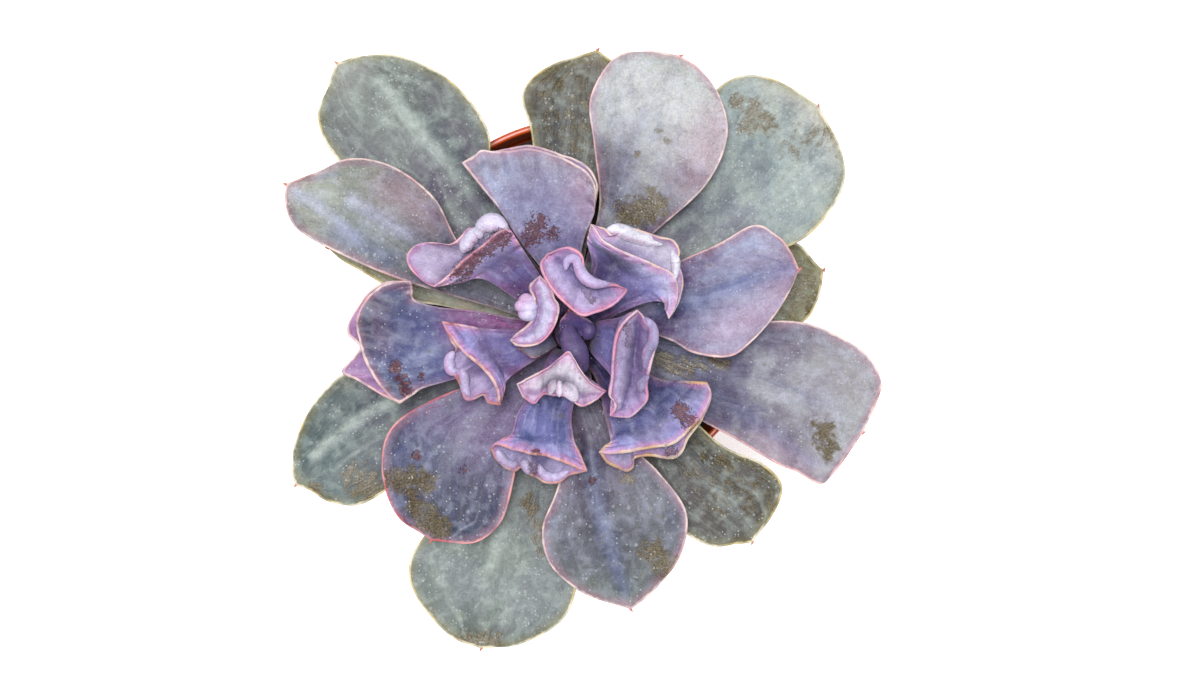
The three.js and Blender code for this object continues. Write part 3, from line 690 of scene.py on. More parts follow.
@dataclass
class BellLeaf(Leaf):
    """A leaf whose end opens into a bell with a front and a back lip.

    Attributes:
        wall: The bell wall's thickness.
        crown: How far the front of the bell arches up.
        belly: How far the back of the bell hangs down.
        septa: Places along the lips where the front and back walls are joined, 0 to 1.
        septum: How wide such a place is, 0 to 1.
        depth: How much of the deepest possible pocket is open.
        valley: Where the pocket's crease lies, 0 by the front wall and 1 by the back wall.
        slope: How late the pocket's sides come together, 1 for straight slopes.
        front: The front lip, as readings with heights, from the left margin.
        back: The back lip, from the right margin.
    """

    body: tuple[float, ...] = (3.4, 3.8, 3.8, 3.8)
    wall: float = LIP_THICKNESS
    crown: float = 0.8
    belly: float = 0.0
    septa: tuple[float, ...] = ()
    septum: float = 0.07
    depth: float = 1.0
    valley: float = 0.5
    slope: float = 4.0
    front: tuple[tuple[float, float, float], ...] = ()
    back: tuple[tuple[float, float, float], ...] = ()

    def lips(self, count: int) -> np.ndarray:
        """Spaces points along both lips.

        Args:
            count: How many on each lip.

        Returns:
            The front lip's points and then the back lip's.
        """
        front = evenly_along(np.array([seen(*p) for p in self.front]), count)
        back = evenly_along(np.array([seen(*p) for p in self.back]), count)
        place = np.linspace(0, 1, count)[:, None]
        for end, corner in ((0, -1), (-1, 0)):
            gap = front[corner] - (0, 0, MARGIN_THICKNESS) - back[end]
            near = place if end == 0 else 1 - place
            back = back + gap * (1 - eased(near, 0, CORNER))
        return np.concatenate([front, back])

    def grid(self) -> tuple[np.ndarray, float]:
        """Draws the outer side from the root to the lips.

        Returns:
            The points by place along and around the leaf, and the place of the waist.
        """
        across = places_across(BELL_ACROSS)
        both = mirrored(across)
        sections = self.sections(across)
        lips = self.lips(BELL_ACROSS)
        arch = np.sin(np.pi * np.linspace(0, 1, BELL_ACROSS))
        lift = np.concatenate([self.crown * arch, -self.belly * arch])
        bells = (sections[-1] + lips) / 2 + lift[:, None] * UP
        knots = np.concatenate([sections, bells[None], lips[None]])
        along = np.linspace(0, 1, GRID_ALONG)
        grid = self.shaped(smooth_through(knots, along), along, both)
        return self.ruffled(grid, along), (len(sections) - 1) / (len(sections) + 1)

    def ruffled(self, grid: np.ndarray, along: np.ndarray) -> np.ndarray:
        """Adds the fine waves of the lips.

        Args:
            grid: The outer side's points.
            along: Each row's place, 0 to 1.

        Returns:
            The changed points.
        """
        rng = np.random.default_rng(self.seed + 1)
        place = np.concatenate([np.linspace(0, 1, BELL_ACROSS), np.linspace(2, 1, BELL_ACROSS)])
        fade = (eased(along, 0.7, 1.0) ** 2)[:, None]
        arch = np.sin(np.pi * np.linspace(0, 1, BELL_ACROSS))
        lift = np.zeros(grid.shape[:2])
        for count, size in LIP_WAVES:
            turn = rng.uniform(0, 2 * np.pi)
            lift += size * np.sin(2 * np.pi * count * place + turn) * fade
        lift *= mirrored(arch) ** 0.5
        return grid + lift[..., None] * UP

    def pocket_reach(self, grid: np.ndarray, place: np.ndarray, waist: float) -> np.ndarray:
        """Finds how deep the pocket can go at each place around the leaf.

        Args:
            grid: The outer side's points.
            place: The place of each column of them along the lips, 0 to 1.
            waist: How far along the leaf the bell begins.

        Returns:
            How far along the leaf the pocket's bottom is.
        """
        steps = np.linspace(0, 1, len(grid))[:, None]
        width = np.linalg.norm(grid - grid[:, ::-1], axis=2)
        joints = [np.exp(-(((place - at) / self.septum) ** 2)) for at in (0, 1, *self.septa)]
        shallow = 0.8 * np.max(joints, axis=0)
        narrow = (width <= POCKET_WALLS * self.wall) & (steps <= POCKET_TOP)
        deepest = np.maximum((narrow * steps).max(0), waist + 0.04)
        reach = 1 - (1 - deepest) * (1 - shallow)
        return mirrored(averaged(reach[:BELL_ACROSS], 4))

    def surface(self) -> Surface:
        """Draws the leaf with its rounded lips and its pocket.

        Returns:
            Its surface in millimetres, with its facts.
        """
        grid, waist = self.grid()
        count = 2 * BELL_ACROSS
        place = mirrored(np.linspace(0, 1, BELL_ACROSS))
        reach = self.pocket_reach(grid, place, waist)
        lip_length = np.linalg.norm(np.diff(grid[-1, :BELL_ACROSS], axis=0), axis=1).sum()
        inset = max(0.02, 0.9 * self.wall / lip_length)
        index = np.arange(BELL_ACROSS)
        inner = inset * (BELL_ACROSS - 1) + (1 - 2 * inset) * index
        inner = np.concatenate([inner, count - 1 - inner[::-1]])
        end = np.repeat((self.valley, 1 - self.valley), BELL_ACROSS)

        def at(around: np.ndarray, along: np.ndarray) -> np.ndarray:
            """Reads the outer side between its grid points.

            Args:
                around: Places around the leaf, in grid points.
                along: A place along it for each, 0 to 1.

            Returns:
                The points.
            """
            a = np.clip(around, 0, count - 1 - 1e-6)
            b = np.clip(along, 0, 1 - 1e-6) * (len(grid) - 1)
            i, j = a.astype(int), b.astype(int)
            s, v = (a - i)[:, None], (b - j)[:, None]
            low = grid[j, i] * (1 - s) + grid[j, i + 1] * s
            high = grid[j + 1, i] * (1 - s) + grid[j + 1, i + 1] * s
            return low * (1 - v) + high * v

        def pocket(level: float) -> np.ndarray:
            """Gives one ring of the inner side.

            Args:
                level: How deep it lies, 0 by the lips and 1 at the bottom.

            Returns:
                The ring's points.
            """
            along = 1 - (1 - np.interp(inner, np.arange(count), reach)) * level * self.depth
            here = at(inner, along)
            there = at(count - 1 - inner, along)
            gap = np.linalg.norm(there - here, axis=1)
            share = np.minimum(self.wall / np.maximum(gap, 1e-6), MOST_WALL)
            share = share + (end - share) * level**self.slope
            return here + (there - here) * share[:, None]

        outer_along = 1 - (1 - np.linspace(0, 1, BELL_ALONG)) ** LIP_CROWDING
        rings = [at(np.arange(count, dtype=float), np.full(count, a)) for a in outer_along]
        inner_lip = pocket(0)
        middle, arm = (rings[-1] + inner_lip) / 2, (rings[-1] - inner_lip) / 2
        towards = unit(rings[-1] - rings[-3])
        bulge = np.linalg.norm(arm, axis=1, keepdims=True) * 0.8
        for turn in np.linspace(0, np.pi, LIP_STEPS + 2)[1:-1]:
            rings.append(middle + arm * math.cos(turn) + towards * bulge * math.sin(turn))
        levels = np.linspace(0, 1, POCKET_DEPTHS)
        rings += [pocket(level) for level in levels]
        stack = np.array(rings)
        along = np.concatenate([outer_along, np.ones(LIP_STEPS), 1 - 0.3 * levels])
        inside = np.concatenate([np.zeros(BELL_ALONG), np.full(LIP_STEPS, 0.02), 0.04 + 0.96 * levels])
        sides = stack[:BELL_ALONG, [0, BELL_ACROSS - 1]].reshape(-1, 3)
        crest = stack[BELL_ALONG + LIP_STEPS // 2]
        edge = np.minimum(nearest(stack, sides), nearest(stack, crest))
        made = Surface.of_rings(stack, self.facts(along, 2 * place - 1, edge, inside), seam=True)
        return made.joined(*self.curls(made))


@dataclass
class Pot:
    """The thin plastic pot, with a collar, a rolled rim and drain holes.

    Attributes:
        base_radius: The radius of its foot.
        collar_height: How far the collar reaches down from the rim.
        collar_step: How far the wall steps in under the collar.
        wall: The wall's thickness.
        floor: The floor's thickness.
        drain_radius: The radius of a drain hole.
        drain_circle: The radius of the ring of drain holes.
        drains: How many drain holes.
        drain_sides: How many points go round a drain hole.
        drain_ends: The heights between which a drain hole's pin stands.
        sides: How many points go round it.
    """

    base_radius: float = 36.5
    collar_height: float = 14.0
    collar_step: float = 3.2
    wall: float = 1.5
    floor: float = 2.0
    drain_radius: float = 3.5
    drain_circle: float = 27.0
    drains: int = 8
    drain_sides: int = 28
    drain_ends: tuple[float, float] = (-3.0, 6.0)
    sides: int = 192

    def inner_wall(self) -> list[tuple[float, float]]:
        """Gives the inside from the collar's foot down to the floor.

        Returns:
            Radius and height of each corner.
        """
        foot = RIM_HEIGHT - self.collar_height
        inner = self.base_radius - self.wall
        return [
            (RIM_RADIUS - self.wall - 1, foot + 1.5),
            (RIM_RADIUS - self.collar_step - self.wall, foot - 1),
            (inner, self.floor + 2),
            (inner - 2, self.floor),
        ]

    def profile(self) -> np.ndarray:
        """Gives the cut through the wall from the middle of the foot to the middle of the floor.

        Returns:
            Radius and height of each point.
        """
        foot = RIM_HEIGHT - self.collar_height
        corners = [
            (0, 0.9, 0.1),
            (self.base_radius - 8, 0.9, 0.4),
            (self.base_radius - 7, 0, 0.4),
            (self.base_radius - 0.3, 0, 1.4),
            (RIM_RADIUS - self.collar_step, foot - 2, 1.2),
            (RIM_RADIUS - 0.6, foot, 0.7),
            (RIM_RADIUS - 0.35, RIM_HEIGHT - 4, 0.3),
            (RIM_RADIUS, RIM_HEIGHT - 3, 0.4),
            (RIM_RADIUS - 0.1, RIM_HEIGHT, 0.9),
            (RIM_RADIUS - 1.9, RIM_HEIGHT, 0.8),
            (RIM_RADIUS - 2.1, RIM_HEIGHT - 2.5, 0.5),
            *((r, z, 0.8) for r, z in self.inner_wall()),
            (0, self.floor, 0.1),
        ]
        points = [corners[0][:2]]
        for (r0, z0, _), (r, z, bend), (r1, z1, _) in zip(corners, corners[1:], corners[2:]):
            here = np.array((r, z))
            before, after = np.array((r0, z0)) - here, np.array((r1, z1)) - here
            cut = min(bend, 0.45 * np.linalg.norm(before), 0.45 * np.linalg.norm(after))
            start, end = here + unit(before) * cut, here + unit(after) * cut
            for t in np.linspace(0, 1, 6):
                points.append((1 - t) ** 2 * start + 2 * t * (1 - t) * here + t * t * end)
        points.append(corners[-1][:2])
        split = []
        for a, b in zip(points, points[1:]):
            a, b = np.array(a), np.array(b)
            parts = max(1, int(np.linalg.norm(b - a) / 5))
            split += [a + (b - a) * k / parts for k in range(parts)]
        return np.array([*split, points[-1]])

    def surface(self) -> Surface:
        """Turns the profile round the axis.

        Returns:
            Its surface in millimetres.
        """
        circle = unit_circle(self.sides)
        rings = np.array([raised(r * circle, z) for r, z in self.profile()[1:-1]])
        return Surface.of_rings(rings, {"height": rings[..., 2] / RIM_HEIGHT})

    def drills(self) -> Surface:
        """Draws a pin through the floor for each drain hole.

        Returns:
            The pins' surface in millimetres.
        """
        circle = self.drain_radius * unit_circle(self.drain_sides)
        pins = []
        for middle in self.drain_circle * unit_circle(self.drains):
            rings = np.array([raised(middle + circle, z) for z in self.drain_ends])
            pins.append(Surface.of_rings(rings, {"height": np.zeros(rings.shape[:2])}))
        return pins[0].joined(*pins[1:])


@dataclass
class PottingMix:
    """The mix in the pot: a rough low mound with loose crumbs on it.

    Attributes:
        pot: The pot that it fills.
        mound: How far its middle stands over its edge.
        crumbs: How many crumbs lie on it.
        crumb_reach: How far from the middle they lie.
        crumb_gap: How far they stay from the stem.
        bore_depth: How deep the stem's hole goes.
        sides: How many points go round it.
        rows: How many rings its top has.
    """

    pot: Pot
    mound: float = 2.5
    crumbs: int = 900
    crumb_reach: float = 45.5
    crumb_gap: float = 2.8
    bore_depth: float = 22.0
    sides: int = 160
    rows: int = 56

    def height_at(self, plan: np.ndarray) -> np.ndarray:
        """Gives the mound's height.

        Args:
            plan: Places, with x and y on the last axis.

        Returns:
            Heights in millimetres.
        """
        x, y = plan[..., 0], plan[..., 1]
        out = np.hypot(x, y) / RIM_RADIUS
        grain = np.sin(x * 1.7 + np.sin(y * 1.1) * 2) * np.cos(y * 1.5 - x * 0.4)
        fine = np.sin(x * 4.1 + np.cos(y * 3.3) * 1.7) * np.sin(y * 4.7 + x * 1.3)
        return RIM_HEIGHT - MIX_DROP + self.mound * (1 - out**2) + 0.4 * grain + 0.2 * fine

    def surface(self) -> Surface:
        """Draws the mix and its crumbs.

        Returns:
            Its surface in millimetres.
        """
        circle = unit_circle(self.sides)
        (foot, foot_height), *wall = self.pot.inner_wall()[::-1]
        rings = [raised(circle * (foot - CLEARANCE), foot_height + CLEARANCE)]
        rings += [raised(circle * (r - 2 * CLEARANCE), z + CLEARANCE) for r, z in wall]
        top, bore = wall[-1][0] - 2 * CLEARANCE, STEM_RADIUS + 2 * CLEARANCE
        for share in np.linspace(1, 0, self.rows):
            plan = circle * (bore + (top - bore) * share) + STEM_FOOT * (1 - share)
            rings.append(raised(plan, self.height_at(plan)))
        for depth in (4, self.bore_depth):
            rings.append(raised(circle * bore + STEM_FOOT, RIM_HEIGHT - MIX_DROP - depth))
        made = Surface.of_rings(np.array(rings), {"tone": np.full((len(rings), self.sides), 0.3)})
        return made.joined(*self.loose_crumbs())

    def loose_crumbs(self) -> list[Surface]:
        """Draws lumps that sink a little into the mound.

        Returns:
            Their surfaces in millimetres.
        """
        rng = np.random.default_rng(41)
        circle, lifts = unit_circle(9), np.linspace(-1, 1, 6)
        lumps = []
        for _ in range(self.crumbs):
            out, turn = self.crumb_reach * math.sqrt(rng.uniform(0.03, 1)), rng.uniform(0, 2 * np.pi)
            plan = np.array((out * math.cos(turn), out * math.sin(turn)))
            size = rng.uniform(0.5, 1.7) * np.array((1, rng.uniform(0.6, 1), rng.uniform(0.5, 0.9)))
            if np.linalg.norm(plan - STEM_FOOT) < STEM_RADIUS + self.crumb_gap:
                continue
            rings = []
            for lift in lifts:
                wide = math.sqrt(max(1 - lift**2, 0.04)) * rng.uniform(0.8, 1.15, len(circle))
                rings.append(raised(wide[:, None] * circle, lift))
            spin = rng.uniform(0, 2 * np.pi)
            cos, sin = math.cos(spin), math.sin(spin)
            about = np.array(((cos, -sin, 0), (sin, cos, 0), (0, 0, 1)))
            base = np.array((*plan, self.height_at(plan) + 0.35 * size[2]))
            tone = np.full((len(lifts), len(circle)), rng.uniform(0, 1) ** 2)
            lumps.append(Surface.of_rings((np.array(rings) * size) @ about.T + base, {"tone": tone}))
        return lumps


@dataclass
class Stem:
    """The short leaning stem, with the scars of lost leaves.

    Attributes:
        hole_depth: How deep it stands in the mix.
        sides: How many points go round it.
        scars: How many leaf scars it has.
        scar_turn: The angle from one scar to the next.
        scar_step: How much higher the next one stands.
        scar_width: Half the width of a scar.
        scar_depth: How deep a scar is.
    """

    hole_depth: float = 22.0
    sides: int = 72
    scars: int = 26
    scar_turn: float = 2.39996
    scar_step: float = 1.15
    scar_width: float = 2.6
    scar_depth: float = 0.25

    def surface(self) -> Surface:
        """Draws the stem.

        Returns:
            Its surface in millimetres.
        """
        turns, circle = full_turn(self.sides), unit_circle(self.sides)
        foot = CLEARANCE - MIX_DROP - self.hole_depth
        rises = np.linspace(foot, CROWN_RISE, 96)
        rings, scars = [], []
        for rise in rises:
            axis = stem_at(max(rise, -MIX_DROP))
            scar = np.zeros(self.sides)
            for leaf in range(self.scars):
                at_turn, at_rise = self.scar_turn * leaf, -8.0 + self.scar_step * leaf
                turn = (turns - at_turn + np.pi) % (2 * np.pi) - np.pi
                shape = (turn * 6.2 / self.scar_width) ** 2 + (rise - at_rise) ** 2
                scar = np.maximum(scar, np.exp(-(shape**2)))
            radius = stem_radius_at(rise) * (0.7 + 0.3 * eased(np.array(rise), foot, foot + 6))
            radius = radius - self.scar_depth * scar - 0.1 * np.sin(turns * 7 + rise) ** 2
            rings.append(raised(radius[:, None] * circle + axis[:2], RIM_HEIGHT + rise))
            scars.append(scar)
        heights = np.repeat(rises[:, None], self.sides, 1)
        return Surface.of_rings(np.array(rings), {"rise": heights, "scar": np.array(scars)})


CREASES: dict[str, tuple[Crease, ...]] = {
    "outer_leaf_2": (Crease(((-3, 68), (-5, 40)), 4, -0.8),),
    "outer_leaf_4": (Crease(((-46, -23), (-60, -30.3), (-76, -44)), 3, -0.9),),
    "outer_leaf_5": (Crease(((-12, -45), (-21, -60), (-28, -90)), 4, -0.9),),
    "outer_leaf_6": (Crease(((22, -32), (46, -62)), 4, -0.9),),
    "outer_leaf_7": (Crease(((-56, 62), (-40, 43), (-25, 25)), 4, -0.9),),
    "outer_leaf_8": (Crease(((26, 22), (46, 38), (62, 52)), 4, -0.9),),
    "middle_leaf_1": (
        Crease(((-80, 31.8), (-70, 25), (-62.8, 18.6)), 2.2, 0.7),
        Crease(((-64, 30), (-49, 20), (-34, 12)), 3, -0.9),
    ),
    "middle_leaf_2": (
        Crease(((26, -12), (50, -24), (74, -38)), 4, -0.9),
        Crease(((61, -45), (65, -47.5)), 1.4, -0.7),
    ),
    "middle_leaf_3": (Crease(((7, 28), (9, 46), (12, 66)), 4, -0.9),),
    "middle_leaf_4": (Crease(((-24, -24), (-38, -44), (-48, -64)), 5, -0.9),),
    "middle_leaf_5": (Crease(((2, -38), (4, -52), (6, -62), (12, -80)), 3, -1.3),),
    "middle_leaf_6": (Crease(((22, -1), (35.8, 2.2), (50, 7.8), (60, 10.2)), 4.5, -3.0),),
    "flared_leaf_1": (Crease(((-24, -9), (-40, -10), (-58, -10)), 6, -1.4),),
    "flared_leaf_2": (Crease(((-8, 16), (-13, 28), (-17, 40)), 5, -1.2),),
    "trumpet_leaf_1": (
        Crease(((-31.2, 18.1),), 1.7, 1.2),
        Crease(((-27.9, 21.5),), 1.9, 1.0),
        Crease(((-30.4, 20.6), (-29.2, 17.4)), 0.7, -1.0),
    ),
    "trumpet_leaf_2": (Crease(((11.6, 20.3),), 2.2, 1.0), Crease(((16, 18), (20, 17)), 1.2, -0.6)),
    "trumpet_leaf_3": (Crease(((-31.1, -15), (-32.5, -17.5), (-34.2, -20.3)), 0.9, 1.0),),
    "trumpet_leaf_4": (Crease(((-12.7, -41.4), (-13.5, -47.3)), 1.1, 1.2),),
    "inner_trumpet_1": (
        Crease(((-3.7, 12.7), (-0.6, 7.8), (7.1, 5.6)), 1.4, 1.2),
        Crease(((-4.6, 8.9), (-2.7, 6.4), (3.5, 3.2), (9.8, 3.6)), 0.9, -1.1),
    ),
    "inner_trumpet_2": (Crease(((-14.6, -4.6), (-13.4, -3.8)), 1.0, -1.2),),
    "inner_trumpet_3": (Crease(((17.2, -4), (16.8, -9), (16.6, -14), (16.8, -19)), 1.0, -1.2),),
    "inner_trumpet_4": (Crease(((-9.4, -24.4), (-6.8, -22.6), (-3.0, -25.0)), 1.7, -1.6),),
}

ROLLS: dict[str, tuple[Roll, ...]] = {
    "trumpet_leaf_1": (
        Roll(((-33.4, 14.6, 34.4), (-31.6, 17.6, 34.4), (-29.4, 20.0, 34.6), (-27.4, 19.0, 35.0)), 2.1),
        Roll(((-29.2, 19.6, 34.4), (-27.2, 22.2, 34.6), (-24.0, 22.9, 34.9), (-20.4, 20.9, 35.6)), 2.5),
    ),
    "trumpet_leaf_2": (
        Roll(((6.6, 20.6), (10.2, 21.0), (14.2, 19.4), (19.0, 18.0), (23.0, 17.0)), 2.1, 1.3),
        Roll(((25.4, 15.6), (26.4, 12.0), (26.2, 7.0)), 1.3, 0.9),
    ),
    "trumpet_leaf_3": (
        Roll(((-35.6, -13.0), (-36.9, -15.4), (-36.2, -18.2), (-34.0, -18.6)), 1.6, 0.7),
        Roll(((-33.4, -17.6), (-32.6, -20.8), (-32.4, -23.6), (-31.0, -25.6)), 1.4, 0.6),
    ),
    "trumpet_leaf_4": (
        Roll(((-23.6, -40.6), (-21.9, -43.2), (-19.6, -44.6), (-17.6, -44.0)), 1.4, 0.7),
        Roll(((-16.2, -43.0), (-15.2, -45.4), (-13.4, -47.0)), 1.5, 0.5),
        Roll(((-12.0, -44.6), (-10.2, -47.6), (-6.8, -48.0), (-3.4, -46.4)), 1.4, 0.7),
    ),
    "inner_trumpet_1": (
        Roll(((-4.4, 9.6), (-3.6, 12.6), (-1.2, 12.6), (0.2, 8.8), (3.2, 6.2), (8.2, 5.8)), 1.6, 0.5),
    ),
    "inner_trumpet_2": (
        Roll(((-12.4, -1.6, 34.6), (-15.2, -2.5, 34.4), (-17.6, -2.2, 34.0)), 2.0),
        Roll(((-12.0, -0.2, 34.6), (-15.6, -0.3, 34.9), (-18.6, -0.2, 34.2)), 2.1),
        Roll(((-12.6, 0.8, 34.6), (-15.2, 1.4, 34.6), (-17.6, 1.3, 34.2)), 1.7),
    ),
    "inner_trumpet_3": (
        Roll(((17.6, -3.4), (20.0, -6.4), (20.0, -10.4), (18.4, -13.6), (17.8, -18.0)), 1.6, 0.6),
        Roll(((16.4, -24.6), (17.2, -21.4), (19.0, -19.6)), 1.3, 0.6),
    ),
    "inner_trumpet_4": (
        Roll(((-7.3, -20.6, 37.0), (-8.1, -22.8, 36.9), (-8.8, -25.2, 36.3)), 1.15),
        Roll(((-5.9, -20.8, 37.0), (-6.0, -23.2, 36.9), (-6.1, -25.8, 36.2)), 0.95),
        Roll(((-4.6, -21.6, 37.2), (-3.0, -24.2, 37.2), (-1.2, -27.0, 36.2)), 1.9, flat=0.7),
    ),
    "heart_leaf_2": (
        Roll(
            ((-3.6, -5.2, 31.6), (-3.2, -9.0, 32.2), (-1.4, -13.4, 32.6), (1.4, -18.6, 31.8)), 3.1,
            flat=0.5,
        ),
        Roll(((0.0, -5.4, 31.2), (1.9, -6.0, 31.8), (2.2, -7.8, 31.8), (1.0, -9.6, 31.4)), 1.7),
    ),
}

FLAT_LEAVES = (
    FlatLeaf(
        "outer_leaf_1", root=3, pairs=((15, 1, 17, -8), (33, 10, 35, -6), (50, 17, 52, -7),
        (60, 17.5, 62, -5), (65.5, 12, 66.5, 2)), rise=(3.5, 4.5, 6, 7, 8), cup=1.5, tip=(68, 9.8, 8.5),
    ),
    FlatLeaf(
        "outer_leaf_2", root=2.5, pairs=((-7, 12, 1, 12), (-12, 32, 5, 32), (-14, 48, 10, 48),
        (-16.5, 59.5, 13, 59), (-9, 67, 11, 66)), rise=(4, 6, 7.5, 8.5, 9.5), cup=1.5, tip=(4.7, 71.5, 10),
    ),
    FlatLeaf(
        "outer_leaf_3", root=1.5, pairs=((-22, -4, -20, 2), (-38, -0.5, -33, 7), (-48, 1.5, -45, 12),
        (-60, 8.5, -56, 17), (-67, 12.5, -66, 17.5)), rise=(3, 5, 6.5, 7.5, 8), cup=0.5, tip=(-71, 16, 8.5),
    ),
    FlatLeaf(
        "outer_leaf_4", root=5, pairs=((-20, -21, -25, -13), (-38, -38, -44, -15), (-52, -50, -60, -15.5),
        (-62, -56, -73, -25), (-70, -55.3, -80, -38), (-76, -52, -81, -46)), rise=(5.5, 6, 7, 8, 9, 9.5),
        cup=2, tip=(-80, -50.5, 10),
    ),
    FlatLeaf(
        "outer_leaf_5", root=1.5, pairs=((-5, -26, -14, -25), (-6, -45, -22, -44), (-4, -62, -38, -58),
        (-1, -76, -47.8, -71), (-5, -88, -46, -82), (-17, -95, -37, -92.5)), rise=(3, 4.5, 6, 7, 8, 9),
        cup=2, tip=(-28, -96.3, 9),
    ),
    FlatLeaf(
        "outer_leaf_6", root=5.5, pairs=((14, -20, 8, -27), (30, -31, 14, -38), (40, -39.5, 20, -52),
        (51, -44.5, 27, -62), (56.5, -51, 36, -67.5), (53.5, -59, 44, -67)), rise=(6.5, 8, 9, 10, 10, 10),
        cup=2, tip=(48, -66.5, 10),
    ),
    FlatLeaf(
        "outer_leaf_7", root=5.5, pairs=((-23, 7, -15, 15), (-43, 20, -25, 34), (-58, 31, -26, 49),
        (-70, 43, -36, 62.5), (-73.7, 53, -50, 69.5), (-71, 61.5, -61, 70)), rise=(7, 9.5, 12, 14, 15, 15),
        cup=2, tip=(-68.5, 67.8, 15),
    ),
    FlatLeaf(
        "outer_leaf_8", root=7, pairs=((10, 8, 17, 1), (22, 28, 33, 10), (29, 46, 48, 13),
        (37, 59.5, 63, 19), (46, 64.5, 72.5, 31), (57, 62, 73.5, 42)), rise=(9, 12, 15, 17, 18, 18), cup=2,
        tip=(66.5, 55.8, 18),
    ),
    FlatLeaf(
        "middle_leaf_1", root=9, pairs=((-21, -2, -18, 5), (-42, 4.2, -33, 16), (-57, 9.5, -41, 30),
        (-70, 15.5, -53, 39), (-79, 20.8, -65, 41), (-82.8, 27, -75, 37)), rise=(12, 15, 18, 20, 21, 21),
        cup=3, tip=(-82.8, 33.8, 22),
    ),
    FlatLeaf(
        "middle_leaf_2", root=9.5, pairs=((16, -7, 14, -16), (34, -6, 30, -30), (50, -4.5, 44, -38),
        (64, -5.3, 54.5, -44.3), (78.5, -12.5, 60.5, -46.8), (84, -20.5, 67, -50.2),
        (83.3, -26, 70.8, -47.3)), rise=(12, 14, 15, 15, 14, 13.5, 13), cup=2, tip=(79, -35.8, 12.7),
    ),
    FlatLeaf(
        "middle_leaf_3", root=11, pairs=((1, 12, 9, 9), (5, 28, 21, 20.5), (3.5, 45, 35, 33.5),
        (2.5, 58, 41, 47), (9, 69, 39, 58.5), (18, 71.3, 33.5, 65.8)), rise=(14, 19, 22, 23, 23, 22), cup=2,
        tip=(28, 69.8, 22),
    ),
    FlatLeaf(
        "middle_leaf_4", root=9.5, pairs=((-12, -25, -20, -20), (-17, -38, -36, -24), (-19, -50, -52, -33),
        (-22.5, -61, -56, -45), (-30, -66.6, -52, -58.5)), rise=(13.5, 17, 19, 19, 18), cup=2.5,
        tip=(-42, -66, 17.5),
    ),
    FlatLeaf(
        "middle_leaf_5", root=12.4, pairs=((4, -24, -4, -24), (13, -38, -3, -38), (22, -47, -7, -52),
        (29.5, -58, -11, -63), (28, -70, -8.5, -73), (21, -79.5, 1, -81)), rise=(15, 18, 20, 20.5, 20, 19),
        cup=2, tip=(14, -85.3, 18),
    ),
    FlatLeaf(
        "middle_leaf_6", root=14, pairs=((13, 3, 15, -7), (27, 12, 25, -10), (38, 17, 31.5, -13.5),
        (48.5, 22.5, 41.5, -14.5), (55, 19.5, 48.5, -9.5), (59.5, 14, 56, -0.5)),
        rise=(18, 22, 24, 25, 26, 27), cup=4, tip=(61.5, 10, 28),
    ),
    FlatLeaf(
        "heart_leaf_1", root=24, pairs=((-7.8, -12.1, -9, -9.2), (-10.8, -14, -12, -10.3),
        (-13.5, -14.8, -15, -11.2)), rise=(26.5, 28.2, 29), root_width=2.8, body=(1.8, 1.6, 1.4), cup=0.5,
        horn=0.5, tip=(-17.3, -12.3, 29),
    ),
    FlatLeaf(
        "heart_leaf_2", root=27.8, pairs=((-6, -7.6, 3, -7), (-5.9, -4.8, 2.6, -4.8)), rise=(29.8, 31.6),
        root_width=4, reach=-3, body=(2, 1.6), cup=1.2, horn=0.5, tip=(-3.4, -1.4, 33.5),
    ),
)

